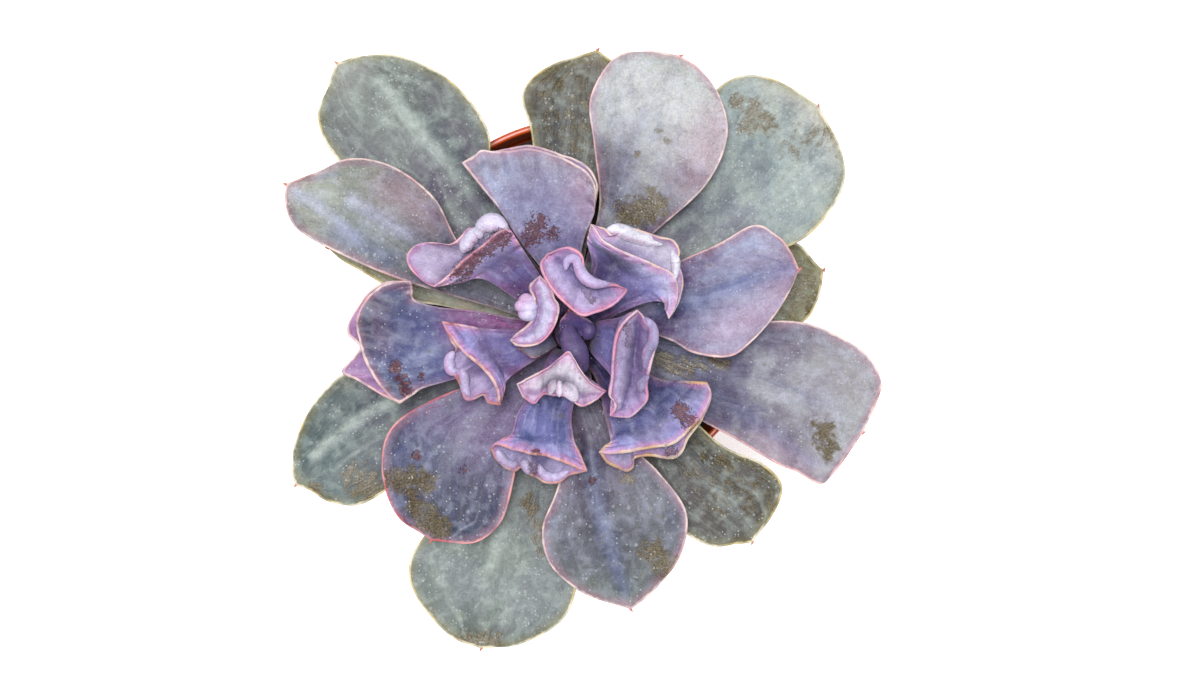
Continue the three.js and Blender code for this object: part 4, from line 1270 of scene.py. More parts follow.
BELL_LEAVES = (
    BellLeaf(
        "flared_leaf_1", root=14.5, pairs=((-15, -13, -16, -4), (-26, -18, -30, -1.5),
        (-36, -21, -40, -0.5), (-44, -23.3, -46.5, 1.5)), rise=(18, 21, 23, 24), cup=2.5, belly=1.5,
        front=((-50.5, -27.5, 27), (-54.5, -23.5, 27.5), (-58.3, -18, 27), (-60.7, -12.5, 26.5),
        (-62.2, -8, 26), (-62, -4, 26.5), (-60, 1, 27), (-56, 4.5, 27.5), (-51.5, 6, 28), (-47.5, 6.3, 28)),
        back=((-49, 6.8, 27), (-54, 6.6, 26), (-58.5, 4.4, 24.5), (-62, 0, 23.5), (-64.8, -5, 23),
        (-65.3, -8.3, 23), (-62.8, -10.8, 23.5), (-61.8, -13, 23.5), (-64.5, -15.8, 22.5), (-66.8, -19, 22),
        (-63, -21, 22.5), (-57, -24.5, 24.5), (-51.5, -28, 26)),
    ),
    BellLeaf(
        "flared_leaf_2", root=15, pairs=((-9.5, 7.5, -0.5, 9.5), (-17, 17.5, 1, 18.5),
        (-22.5, 26, 3.6, 25)), rise=(19, 24, 27), cup=2, belly=1.5, front=((-33.3, 39.6, 30),
        (-30, 41, 31.5), (-28, 43, 31.5), (-24, 42.2, 32), (-19, 42.6, 32.5), (-14, 43.2, 33),
        (-8.5, 41.8, 33), (-3, 39.5, 33), (1, 37, 33), (3.6, 33.5, 32.5), (4.2, 29, 31)),
        back=((4.8, 29, 30), (4.6, 34, 30.5), (2.5, 38, 30.5), (-1, 40.3, 30.5), (-5, 41.8, 30.5),
        (-9, 43.3, 30.5), (-14, 44.6, 30.5), (-19, 44.2, 30.5), (-24, 43, 30.5), (-28, 42.5, 30),
        (-32.5, 40, 29.5)),
    ),
    BellLeaf(
        "trumpet_leaf_1", root=18.7, pairs=((-17, 0.5, -11, 8), (-27, 7, -15.5, 14.5)), rise=(24, 30),
        root_width=6.2, cup=1.5, belly=2.5, septa=(0.62,), depth=0.55, valley=0.55, slope=2.0,
        front=((-41, 5, 34.5), (-37.5, 7, 36), (-32, 12.3, 37), (-27, 16, 37.5), (-22.5, 19.7, 37.5),
        (-19.3, 20.5, 36.5)), back=((-20, 21.2, 36), (-22, 23.8, 35.5), (-25, 24.6, 35), (-28, 23, 34.5),
        (-29.5, 21.3, 34.5), (-31.5, 21.7, 34), (-33.5, 19.3, 34), (-36.5, 17.2, 34), (-41, 17.6, 33),
        (-45.5, 17, 32), (-48.7, 14, 31.5), (-48, 10.5, 32), (-45.3, 7.5, 32.8), (-42.5, 6, 33.3)),
    ),
    BellLeaf(
        "trumpet_leaf_2", root=19, pairs=((1, 3.5, 8.5, -3.5), (2.8, 11.5, 17.5, 0.3),
        (1.5, 17.5, 22.5, 0.8)), rise=(25, 30, 33), cup=1.5, belly=2.5, depth=0.45, valley=0.25, slope=1.8,
        front=((2.6, 22.5, 36), (5, 18, 37.5), (10, 15, 38.5), (16, 12.4, 39), (20.5, 10.4, 39),
        (24.5, 8.6, 38.5), (26.4, 5, 37.5), (25.8, 0.5, 36), (24.4, -3.7, 34.5)), back=((25.2, -3, 34),
        (27.4, 1, 34), (28.5, 5.5, 34), (28, 9.5, 34.5), (27, 12, 35), (27.7, 15, 35.5), (26, 18.2, 36),
        (22, 19.2, 36), (18, 20.6, 35), (14, 21.6, 34.5), (10.5, 20.4, 35), (8.5, 19.8, 36), (6.5, 22, 36),
        (4, 23.6, 35.5)),
    ),
    BellLeaf(
        "trumpet_leaf_3", root=19.5, pairs=((-13.5, -16, -16, -7), (-20, -20.5, -26, -6.5)), rise=(25, 30),
        root_width=6.2, cup=1.5, belly=2.5, septa=(0.5,), depth=0.7, valley=0.45, slope=2.5,
        front=((-22.5, -28, 31), (-22.8, -24, 33), (-24.5, -20, 34), (-28, -16.2, 34), (-32, -13, 34),
        (-35.5, -9, 34), (-38.7, -4.5, 35)), back=((-38.5, -5.5, 34), (-36.5, -10, 32.5), (-35, -12.5, 31),
        (-37.2, -15, 29.5), (-37, -18, 29), (-35, -20.3, 29), (-33.6, -23.5, 28.5), (-32.3, -26.5, 28),
        (-30, -26.6, 28), (-27.5, -25.3, 29), (-26, -27.5, 29.5), (-23.5, -28.6, 30)),
    ),
    BellLeaf(
        "trumpet_leaf_4", root=17.6, pairs=((0.5, -19, -9.5, -18.5), (-2.5, -30, -17.5, -29.5),
        (-2, -37, -19.5, -35.5)), rise=(24, 29, 31.5), cup=1.5, belly=2, septa=(0.48,), depth=0.8,
        front=((1.8, -46.3, 31), (-4, -43.6, 33), (-10, -41.4, 33.5), (-14, -41, 33.5), (-19, -39.6, 33.5),
        (-23.5, -38.4, 33), (-25.5, -40, 31.5)), back=((-25.5, -41, 30.5), (-23.5, -43.6, 28),
        (-21, -45.6, 26.5), (-18.5, -46.5, 26), (-16.3, -45.2, 27), (-14, -47.5, 26.5), (-12, -48.5, 25.5),
        (-10, -49.8, 25), (-6, -49.6, 26), (-3, -47.6, 28), (1.5, -46.8, 30)),
    ),
    BellLeaf(
        "trumpet_leaf_5", root=15.6, pairs=((12, -15, 4, -21), (22, -20.5, 6.5, -31), (29, -21, 8, -37.5)),
        rise=(22, 27, 29.5), cup=1.5, belly=2, septa=(0.68,), depth=0.6, valley=0.4, front=((35, -21.5, 31),
        (36, -25, 32), (33.5, -30.5, 32.5), (29, -35.5, 32.5), (25, -38.5, 32), (19, -39.6, 32),
        (12, -40.6, 31.5), (5, -41, 30)), back=((5.2, -41.8, 29), (7, -44, 27), (9.5, -45.3, 26),
        (12.5, -46.5, 25), (14.6, -45, 26), (14.5, -42.8, 27.5), (19, -42.2, 27), (25, -43, 26),
        (28, -41.5, 26.5), (30, -37.5, 28), (33.5, -32.5, 29), (36.3, -26, 30), (35.6, -21.8, 30)),
    ),
    BellLeaf(
        "inner_trumpet_1", root=23, pairs=((-5.5, 1.5, 3, 1.5), (-7, 6.8, 6, 5)), rise=(31, 36.5),
        root_width=5, cup=1, belly=2.5, depth=0.42, valley=0.72, slope=1.6, wall=1.4,
        front=((-9.6, 14.2, 43.4), (-11.6, 10.8, 45.2), (-8.5, 4.5, 46.5), (-4.5, 0.3, 46.5), (0, -3, 46),
        (4, -2.3, 46.5), (8.5, -0.5, 46), (12, 2.5, 45), (13, 4.5, 43.4)), back=((11.5, 6.2, 44),
        (8, 6.4, 44), (4, 6.3, 44.5), (1.6, 8.5, 45), (1, 12, 45), (0, 14.7, 44.5), (-3, 16.3, 43.5),
        (-6.5, 15.8, 43.5), (-8, 15.5, 43.4)),
    ),
    BellLeaf(
        "inner_trumpet_2", root=22.4, pairs=((-8.5, -9, -8.5, -2), (-12, -10.4, -11.5, 4)), rise=(27, 31),
        root_width=4.4, body=(2.8, 2.8), wall=1.4, cup=1, belly=1, depth=0.24, valley=0.72, slope=1.6,
        front=((-19.8, -10, 33), (-17.4, -11.7, 35), (-12, -11, 37), (-8.3, -7.5, 37.5), (-6.4, -3, 37.5),
        (-6.2, 0, 37.5), (-7.4, 2, 37.5), (-8.5, 5.5, 37), (-11.5, 8.2, 34.8)), back=((-13.8, 7.3, 35),
        (-14.7, 4.6, 34.8), (-13.7, 1.6, 34.6), (-13.8, -1.4, 34.4), (-14.3, -4.2, 34.2),
        (-16.4, -6.6, 33.6), (-19.2, -8.6, 33.2)),
    ),
    BellLeaf(
        "inner_trumpet_3", root=20.5, pairs=((4.5, -4.5, 3.5, -14.5), (10, -3.5, 8.5, -20.5)),
        rise=(30, 37), root_width=6, cup=1.5, belly=2, depth=0.45, valley=0.78, slope=1.8, wall=1.3,
        front=((15.6, -1.3, 42), (12.2, -3.8, 43), (9.6, -8, 43.5), (8.6, -14, 43.5), (8.3, -20, 43.5),
        (7.6, -25, 43), (9.3, -27.3, 42), (8, -30.8, 40)), back=((10.5, -32, 38.5), (14, -31.2, 37.5),
        (17, -28.6, 38), (18.8, -26, 38.5), (18.7, -22, 39), (19.7, -17, 39), (20.7, -13, 39),
        (21.4, -10, 39), (20.6, -7.2, 39.5), (18.8, -5.5, 40), (18, -3.5, 40.5), (16.7, -2.2, 41)),
    ),
    BellLeaf(
        "inner_trumpet_4", root=22.4, pairs=((-0.3, -14.5, -9, -14), (0.8, -18.8, -11, -18.2)),
        rise=(30, 36), root_width=6, cup=1, belly=2, depth=0.16, valley=0.8, slope=1.5, front=((7, -24, 39),
        (3, -21.6, 41), (0.3, -18.6, 42), (-1.8, -15.2, 42.5), (-3.5, -13, 42.5), (-6, -14.7, 42.5),
        (-9, -17.2, 42), (-13.5, -19.5, 41), (-18, -22, 39)), back=((-17.7, -23.8, 38), (-16, -26, 37),
        (-13, -27.6, 36), (-10.5, -25.3, 36.5), (-8, -25.6, 36), (-6, -25.6, 36), (-3.5, -26.3, 36),
        (0, -28.4, 35.5), (3.5, -27, 36.5), (6.8, -24.8, 38)),
    ),
)


class Wire:
    """A shader value that can be added, multiplied and compared like a number."""

    def __init__(self, graph: "Graph", socket: bpy.types.NodeSocket) -> None:
        """Wraps a socket."""
        self.graph = graph
        self.socket = socket

    def _math(self, kind: str, first: "Wire | float", second: "Wire | float") -> "Wire":
        """Adds a Math node of a kind."""
        return self.graph.wire("ShaderNodeMath", {"operation": kind}, {0: first, 1: second})

    def __add__(self, other: "Wire | float") -> "Wire":
        """Adds another value."""
        return self._math("ADD", self, other)

    def __sub__(self, other: "Wire | float") -> "Wire":
        """Takes another value away."""
        return self._math("SUBTRACT", self, other)

    def __mul__(self, other: "Wire | float") -> "Wire":
        """Multiplies by another value."""
        return self._math("MULTIPLY", self, other)

    def __rsub__(self, other: float) -> "Wire":
        """Takes this value away from a number."""
        return self._math("SUBTRACT", other, self)

    __radd__ = __add__
    __rmul__ = __mul__

    def at_least(self, other: "Wire | float") -> "Wire":
        """Gives the larger of this and another value."""
        return self._math("MAXIMUM", self, other)

    def swing(self, size: float) -> "Wire":
        """Gives how far this is over or under a half, times a size."""
        return (self - 0.5) * size

    def step(self, low: float, high: float) -> "Wire":
        """Rises smoothly from 0 at low to 1 at high, or falls where high is the lower one.

        Args:
            low: The value that gives 0.
            high: The value that gives 1.

        Returns:
            A value from 0 to 1.
        """
        settings = {"interpolation_type": "SMOOTHSTEP"}
        inputs = {"Value": self, "From Min": min(low, high), "From Max": max(low, high)}
        inputs |= {"To Min": float(low > high), "To Max": float(low < high)}
        return self.graph.wire("ShaderNodeMapRange", settings, inputs)


class Graph:
    """The node tree of one material."""

    def __init__(self, name: str) -> None:
        """Makes the material with an empty tree.

        Args:
            name: The material's name.
        """
        self.material = bpy.data.materials.new(name)
        self.material.use_nodes = True
        self.tree = self.material.node_tree
        self.tree.nodes.clear()

    def node(self, kind: str, settings: dict[str, object], inputs: Inputs) -> bpy.types.Node:
        """Adds a node.

        Args:
            kind: The node type.
            settings: Its own settings.
            inputs: Wires or constants by socket name or number.

        Returns:
            The node.
        """
        made = self.tree.nodes.new(kind)
        for name, value in settings.items():
            setattr(made, name, value)
        for name, value in inputs.items():
            if isinstance(value, Wire):
                self.tree.links.new(value.socket, made.inputs[name])
            else:
                made.inputs[name].default_value = value
        return made

    def wire(
        self, kind: str, settings: dict[str, object], inputs: Inputs, output: str | int = 0
    ) -> Wire:
        """Adds a node and gives one of its outputs."""
        return Wire(self, self.node(kind, settings, inputs).outputs[output])

    def fact(self, name: str) -> Wire:
        """Reads a fact of the mesh."""
        return self.wire("ShaderNodeAttribute", {"attribute_name": name}, {}, "Fac")

    def place(self, scale: tuple[float, float, float] = (1.0, 1.0, 1.0), shift: float = 0.0) -> Wire:
        """Gives the point's place in millimetres.

        Args:
            scale: A stretch for each axis.
            shift: How far the pattern is moved.

        Returns:
            The vector.
        """
        point = self.wire("ShaderNodeTexCoord", {}, {}, "Object")
        inputs = {"Vector": point, "Location": (shift, -shift, shift)}
        inputs["Scale"] = tuple(1000 * part for part in scale)
        return self.wire("ShaderNodeMapping", {}, inputs)

    def vector(self, x: Wire | float, y: Wire | float, z: Wire | float) -> Wire:
        """Joins three values to a vector."""
        return self.wire("ShaderNodeCombineXYZ", {}, {"X": x, "Y": y, "Z": z})

    def noise(self, at: Wire, scale: float, detail: float = 3.0, twist: float = 0.0) -> Wire:
        """Adds cloudy noise, 0 to 1 and mostly about a half."""
        inputs = {"Vector": at, "Scale": scale, "Detail": detail, "Distortion": twist}
        return self.wire("ShaderNodeTexNoise", {}, inputs, "Fac")

    def dots(self, at: Wire, scale: float, share: float, size: float) -> Wire:
        """Scatters soft round dots.

        Args:
            at: Where to read them.
            scale: How many cells there are to a unit.
            share: The share of cells with a dot.
            size: A dot's radius, in cells.

        Returns:
            1 in a dot and 0 elsewhere.
        """
        cells = self.node("ShaderNodeTexVoronoi", {}, {"Vector": at, "Scale": scale})
        chance = Wire(self, cells.outputs["Color"])
        chance = self.wire("ShaderNodeSeparateColor", {}, {0: chance}, "Red")
        spot = Wire(self, cells.outputs["Distance"]).step(size, size * 0.55)
        return spot * chance.step(1 - share - 0.03, 1 - share + 0.03)

    def blend(
        self, share: Wire | float, low: Wire | Color, high: Wire | Color, mode: str = "MIX"
    ) -> Wire:
        """Mixes two colours."""
        settings = {"data_type": "RGBA", "blend_type": mode}
        return self.wire("ShaderNodeMix", settings, {0: share, 6: low, 7: high}, 2)

    def bump(self, height: Wire, depth: float, strength: float = 1.0) -> Wire:
        """Turns a height of about 0 to 1, with its depth in millimetres, into a normal."""
        inputs = {"Height": height, "Distance": depth * MM, "Strength": strength}
        return self.wire("ShaderNodeBump", {}, inputs)

    def finish(
        self, color: Wire, roughness: Wire, normal: Wire, **constants: object
    ) -> bpy.types.Material:
        """Ends the tree in one surface shader.

        Args:
            color: The base colour.
            roughness: The roughness.
            normal: The normal.
            **constants: The shader's constants, with _ for a space.

        Returns:
            The material.
        """
        inputs = {"Base Color": color, "Roughness": roughness, "Normal": normal}
        inputs |= {name.replace("_", " "): value for name, value in constants.items()}
        shader = self.wire("ShaderNodeBsdfPrincipled", {}, inputs)
        self.node("ShaderNodeOutputMaterial", {}, {"Surface": shader})
        return self.material


def paint(red: float, green: float, blue: float) -> Color:
    """Gives the colour of a surface that looks so in the studio light, a little richer.

    Args:
        red: Red as it looks, 0 to 255.
        green: Green, 0 to 255.
        blue: Blue, 0 to 255.

    Returns:
        The linear colour.
    """
    screen = np.array((red, green, blue)) / 255
    seen_as = np.where(screen <= 0.04045, screen / 12.92, ((screen + 0.055) / 1.055) ** 2.4)
    rich = seen_as.mean() + (seen_as - seen_as.mean()) * RICHNESS
    return (*(float(part) for part in np.clip(rich / STUDIO_LEVEL, 0.003, 0.95)), 1.0)


@dataclass(frozen=True)
class Skin:
    """The colours of one leaf, at first those of an outer leaf.

    Attributes:
        root: Where it leaves the stem.
        blade: On the middle of the blade.
        tip: Towards the tip, or the lips.
        tone: The other colour of its mottling.
        flush: The wash along its margin and over its flushed places.
        flush_width: How far the wash reaches in, in millimetres.
        flush_share: How strong the wash is.
        rim: The thin line on the margin.
        rim_other: The line's other colour.
        rim_width: The line's width, in millimetres.
        light: Its pale veins, streaks and powder, and the painted highlights on its ridges and lips.
        dark: Its dark veins and streaks, and the painted shade in its creases, folds and hollows.
        lining: The inside of its pocket by the lips.
        deep: Painted shade at the bottom of its pocket.
        crown_shade: How much painted shade darkens it towards the stem, where the leaves above shade it.
        powder: How much pale powder lies on it.
        specks: The share of places with a white speck.
        leather: How uneven its skin is, in millimetres.
        lipped: Whether it ends in lips, with its pale line only there.
    """

    root: Color = paint(112, 108, 124)
    blade: Color = paint(142, 152, 150)
    tip: Color = paint(152, 160, 154)
    tone: Color = paint(120, 128, 120)
    flush: Color = paint(150, 146, 112)
    flush_width: float = 3.2
    flush_share: float = 0.45
    rim: Color = paint(252, 242, 216)
    rim_other: Color = paint(226, 208, 160)
    rim_width: float = 0.55
    light: Color = paint(188, 198, 192)
    dark: Color = paint(88, 98, 104)
    lining: Color = paint(150, 150, 170)
    deep: Color = paint(70, 66, 92)
    crown_shade: float = 0.42
    powder: float = 0.26
    specks: float = 0.4
    leather: float = 0.1
    lipped: bool = False


def tinted(base: Skin, **parts: tuple[int, int, int] | float | bool) -> Skin:
    """Changes a skin, with each colour given as the red, green and blue that it looks."""
    painted = {k: paint(*v) if isinstance(v, tuple) else v for k, v in parts.items()}
    return replace(base, **painted)


OUTER = Skin()
MIDDLE = tinted(
    OUTER, root=(124, 108, 142), blade=(140, 136, 150), tip=(140, 138, 146), tone=(118, 118, 130),
    flush=(176, 140, 158), flush_width=3.0, flush_share=0.5, rim=(254, 232, 226), rim_other=(240, 196, 196),
    rim_width=0.5, light=(178, 182, 200), dark=(92, 100, 142), lining=(168, 158, 192), deep=(76, 64, 106),
    crown_shade=0.46, powder=0.24, specks=0.26, leather=0.12,
)
TRUMPET = tinted(
    OUTER, root=(110, 84, 132), blade=(142, 130, 178), tip=(190, 178, 212), tone=(120, 120, 168),
    flush=(214, 160, 200), flush_width=2.6, flush_share=0.7, rim=(240, 212, 222), rim_other=(226, 160, 178),
    rim_width=0.3, light=(206, 202, 232), dark=(94, 84, 138), lining=(212, 200, 228), deep=(80, 66, 120),
    crown_shade=0.4, powder=0.12, specks=0.1, leather=0.2, lipped=True,
)

# Each leaf's colours are matched to how it looks in place, so the darker colours of the low leaves
# outer_leaf_1, outer_leaf_2, outer_leaf_5 and middle_leaf_4 are partly painted shade from the leaves above
# them.
SKINS: dict[str, Skin] = {
    "outer_leaf_1": tinted(
        OUTER, root=(96, 92, 80), blade=(112, 108, 80), tip=(122, 112, 78), tone=(96, 92, 72),
    ),
    "outer_leaf_2": tinted(
        OUTER, root=(66, 62, 66), blade=(72, 66, 58), tip=(96, 84, 66), tone=(70, 68, 62),
    ),
    "outer_leaf_3": tinted(
        OUTER, root=(176, 164, 148), blade=(150, 140, 108), tip=(158, 148, 104), crown_shade=0.05,
    ),
    "outer_leaf_4": tinted(
        OUTER, root=(74, 66, 90), blade=(78, 94, 98), tip=(128, 136, 124), tone=(85, 93, 89),
    ),
    "outer_leaf_5": tinted(
        OUTER, root=(108, 110, 116), blade=(125, 132, 133), tip=(58, 66, 64), tone=(90, 100, 93),
    ),
    "outer_leaf_6": tinted(
        OUTER, root=(70, 66, 68), blade=(85, 81, 79), tip=(56, 44, 24), tone=(56, 54, 42),
    ),
    "outer_leaf_7": tinted(
        OUTER, root=(86, 71, 103), blade=(100, 106, 104), tip=(164, 164, 159), tone=(114, 122, 118),
    ),
    "outer_leaf_8": tinted(
        OUTER, root=(120, 115, 135), blade=(143, 156, 158), tip=(213, 205, 196), tone=(144, 152, 145),
    ),
    "middle_leaf_1": tinted(
        MIDDLE, root=(108, 106, 124), blade=(148, 152, 144), tip=(177, 177, 162), tone=(132, 138, 130),
    ),
    "middle_leaf_2": tinted(
        MIDDLE, root=(62, 44, 98), blade=(157, 153, 158), tip=(183, 183, 179), tone=(147, 149, 152),
    ),
    "middle_leaf_3": tinted(
        MIDDLE, root=(84, 72, 100), blade=(198, 200, 200), tip=(187, 193, 182), tone=(163, 167, 168),
    ),
    "middle_leaf_4": tinted(
        MIDDLE, root=(150, 131, 171), blade=(62, 62, 86), tip=(48, 66, 86), tone=(62, 62, 78),
        rim=(240, 178, 176), rim_other=(216, 112, 122),
    ),
    "middle_leaf_5": tinted(
        MIDDLE, root=(100, 84, 110), blade=(84, 86, 94), tip=(124, 132, 120), tone=(95, 97, 104),
    ),
    "middle_leaf_6": tinted(
        MIDDLE, root=(113, 93, 134), blade=(174, 168, 193), tip=(197, 180, 202), tone=(150, 158, 182),
    ),
    "flared_leaf_1": tinted(
        MIDDLE, root=(188, 122, 180), blade=(90, 90, 132), tip=(44, 54, 74), tone=(60, 60, 94), lipped=True,
    ),
    "flared_leaf_2": tinted(
        MIDDLE, root=(132, 118, 164), blade=(160, 152, 185), tip=(161, 155, 169), tone=(132, 136, 163),
        lipped=True,
    ),
    "trumpet_leaf_1": tinted(
        TRUMPET, blade=(141, 124, 156), tip=(198, 188, 218), lining=(234, 226, 244), rim=(240, 202, 206),
    ),
    "trumpet_leaf_2": tinted(
        TRUMPET, blade=(156, 152, 202), tip=(204, 202, 232), dark=(52, 38, 76), lining=(248, 246, 252),
        rim=(246, 232, 226), rim_other=(238, 212, 190),
    ),
    "trumpet_leaf_3": tinted(
        TRUMPET, blade=(128, 116, 158), tip=(154, 144, 190), rim=(240, 208, 190), rim_other=(196, 134, 120),
        rim_width=0.6,
    ),
    "trumpet_leaf_4": tinted(
        TRUMPET, root=(63, 62, 107), blade=(78, 87, 130), tip=(146, 140, 184), rim=(244, 206, 190),
        rim_other=(226, 164, 148), rim_width=0.55,
    ),
    "trumpet_leaf_5": tinted(
        TRUMPET, root=(67, 61, 102), blade=(68, 73, 109), tip=(146, 140, 176), rim=(240, 222, 198),
        rim_other=(222, 184, 140), rim_width=0.7,
    ),
    "inner_trumpet_1": tinted(TRUMPET, tip=(190, 178, 220), lining=(204, 190, 222), rim=(244, 178, 192)),
    "inner_trumpet_2": tinted(TRUMPET, tip=(204, 194, 226), lining=(228, 222, 244), rim=(236, 212, 204)),
    "inner_trumpet_3": tinted(
        TRUMPET, blade=(112, 102, 152), tip=(170, 160, 204), lining=(206, 194, 226), dark=(66, 54, 100),
    ),
    "inner_trumpet_4": tinted(
        TRUMPET, blade=(126, 114, 158), tip=(198, 192, 226), lining=(250, 242, 250), dark=(80, 64, 84),
        rim=(244, 226, 220),
    ),
    "heart_leaf_1": tinted(
        TRUMPET, root=(92, 84, 98), blade=(118, 114, 124), tip=(126, 120, 132), light=(150, 146, 156),
        flush=(140, 134, 140), rim=(176, 170, 166), crown_shade=0.1,
    ),
    "heart_leaf_2": tinted(
        TRUMPET, root=(58, 46, 84), blade=(78, 64, 106), tip=(96, 80, 124), light=(118, 104, 148),
        flush=(130, 100, 142), rim=(186, 166, 190), lining=(84, 72, 108),
    ),
}


def leaf_finish(name: str) -> bpy.types.Material:
    """Makes the skin of one leaf: powdery, mottled, streaked and worn, with a thin pale margin, painted
    shade by the stem, in its creases and at the bottom of its pocket, and painted highlights on some ridges
    and lips.

    Args:
        name: The solid that the leaf replaces.

    Returns:
        The material.
    """
    skin = SKINS[name]
    g = Graph(f"skin_{name}")
    shift = 37.0 * (1 + list(SKINS).index(name))
    place = g.place(shift=shift)
    along, across, edge = g.fact("along"), g.fact("across"), g.fact("edge")
    inside, upper, horn = g.fact("inside"), g.fact("upper"), g.fact("horn")
    cloud = g.noise(place, 0.085, 4.0, 0.6)
    patchy = g.noise(place, 0.32, 4.0, 0.4)
    bent = across * 4.5 + cloud.swing(2.2)
    lengthwise = g.noise(g.vector(bent, along * 1.8, shift), 1.7, 6.0, 0.15)
    grain = g.noise(place, 0.75, 8.0, 0.3)
    fine = g.noise(place, 2.1, 5.0)

    drift = along + cloud.swing(0.35)
    color = g.blend(drift.step(0.22, 0.62), skin.root, skin.blade)
    color = g.blend(drift.step(0.6, 1.0), color, skin.tip)
    color = g.blend(cloud.step(0.42, 0.66) * 0.7, color, skin.tone)
    color = g.blend(inside.step(0.0, 0.1) * 0.75, color, skin.lining)
    # Painted shade towards the bottom of a bell's pocket.
    color = g.blend((inside + patchy.swing(0.4)).step(0.55, 1.0) * 0.7, color, skin.deep)
    color = g.blend(g.fact("tone") * 0.9, color, skin.tone)
    # Pale veins, and painted highlights along ridges and lips.
    color = g.blend(g.fact("light") * (0.75 + patchy.swing(0.5)), color, skin.light)
    # Dark veins, and painted shade along creases, folds and hollows.
    color = g.blend(g.fact("dark") * (0.8 + lengthwise.swing(0.9)), color, skin.dark)
    color = g.blend(lengthwise.step(0.5, 0.8) * 0.34, color, skin.light)
    color = g.blend(lengthwise.step(0.5, 0.25) * 0.34, color, skin.dark)

    outward = along.step(0.55, 0.8) if skin.lipped else along.step(0.12, 0.45)
    wash = (edge + patchy.swing(3.0)).step(skin.flush_width, 0.3) * skin.flush_share
    wash = wash * (outward * 0.75 + 0.25)
    color = g.blend(wash.at_least(g.fact("flush") * 0.85), color, skin.flush)
    powder = patchy.step(0.42, 0.68) * skin.powder
    color = g.blend(powder, color, skin.light)
    # Random mottling, times painted shade that darkens each leaf towards the stem.
    shade = grain.swing(0.6) + patchy.swing(0.45) + cloud.swing(1.0) + fine.swing(0.8)
    shade = shade + along.step(0.05, 0.62) * skin.crown_shade
    color = g.blend(1.0, color, shade + (1 - skin.crown_shade), "MULTIPLY")
    color = g.blend((1 - upper) * 0.35, color, skin.root)

    smear = g.noise(g.vector(bent * 2.0, along * 5.0, shift), 1.5, 5.0, 1.2) * 0.5
    smear = smear + g.noise(place, 0.4, 5.0) * 0.9
    rub = (g.fact("rub") + (smear - 0.7) * 2.4).step(0.3, 1.0)
    rub = rub * g.fact("rub").step(0.0, 0.3)
    olive = g.blend(fine.step(0.38, 0.62), paint(60, 50, 28), paint(108, 94, 60))
    color = g.blend(rub * 0.85, color, olive)
    freckle = g.dots(place, 0.4, 0.1, 0.32) * (patchy.step(0.45, 0.6) * 0.5)
    color = g.blend(freckle * upper, color, paint(112, 102, 82))
    scar = (g.fact("scar") + g.noise(place, 0.8, 5.0, 1.4).swing(2.6)).step(0.5, 0.85)
    scar = scar * g.fact("scar").step(0.0, 0.3)
    crust = g.blend(fine.step(0.35, 0.65), paint(66, 30, 40), paint(118, 72, 66))
    color = g.blend(scar * (1 - inside) * 0.85, color, crust)

    specks = g.dots(place, 1.1, skin.specks, 0.3) * 0.62
    spots = g.dots(place, 0.5, skin.specks * 0.7, 0.3) * 0.3
    dust = specks.at_least(spots) * g.noise(place, 0.12, 3.0).step(0.4, 0.58)
    color = g.blend(dust * (1 - inside), color, paint(214, 216, 218))

    rim_mix = g.noise(place, 0.11, 2.0).step(0.42, 0.6)
    rim = edge + g.noise(place, 0.7, 2.0).swing(0.6)
    rim = rim.step(skin.rim_width + 0.35, skin.rim_width - 0.15)
    worn = g.noise(place, 0.24, 3.0).step(0.35, 0.6) * 0.55 + 0.35
    pale = g.blend(rim_mix, skin.rim, skin.rim_other)
    color = g.blend(rim * worn * (outward * 0.85 + 0.15), color, pale)
    color = g.blend(horn * 0.75, color, paint(196, 108, 96))

    roughness = 0.5 + patchy.swing(0.25) + dust * 0.2 - rub * 0.12
    relief = fine * 0.25 + lengthwise * 0.7 + patchy * 0.6 + rim * 0.5 - scar * 0.6 - rub * 0.3
    relief = relief + g.noise(place, 4.0, 2.0) * 0.12
    normal = g.bump(relief, skin.leather * 2.2)
    return g.finish(
        color, roughness, normal, Sheen_Weight=0.06, Sheen_Roughness=0.4, Specular_IOR_Level=0.28
    )


def pot_finish() -> bpy.types.Material:
    """Makes the terracotta-coloured moulded plastic, with faint rings and dust.

    Returns:
        The material.
    """
    g = Graph("terracotta_plastic")
    place = g.place()
    height = g.fact("height")
    cloud, fine = g.noise(place, 0.06, 4.0, 0.4), g.noise(place, 1.1, 4.0)
    scuff = g.noise(g.place((0.25, 0.25, 2.2)), 0.5, 5.0, 0.6).step(0.6, 0.75)
    color = g.blend(cloud.step(0.25, 0.75), paint(190, 84, 52), paint(202, 96, 63))
    color = g.blend(scuff * 0.3, color, paint(226, 144, 120))
    dust = (height + cloud.swing(0.3)).step(0.22, 0.0) * fine.step(0.4, 0.65)
    color = g.blend(dust * 0.5, color, paint(120, 96, 80))
    lines = g.wire(
        "ShaderNodeTexWave",
        {"bands_direction": "Z"},
        {"Vector": place, "Scale": 0.16, "Distortion": 0.15, "Detail": 1.0},
        "Fac",
    )
    roughness = 0.34 + cloud * 0.12 + scuff * 0.15 + dust * 0.2
    normal = g.bump(fine * 0.3 + lines * 0.35 + scuff * 0.3, 0.12)
    return g.finish(color, roughness, normal, Coat_Weight=0.12, Coat_Roughness=0.35)


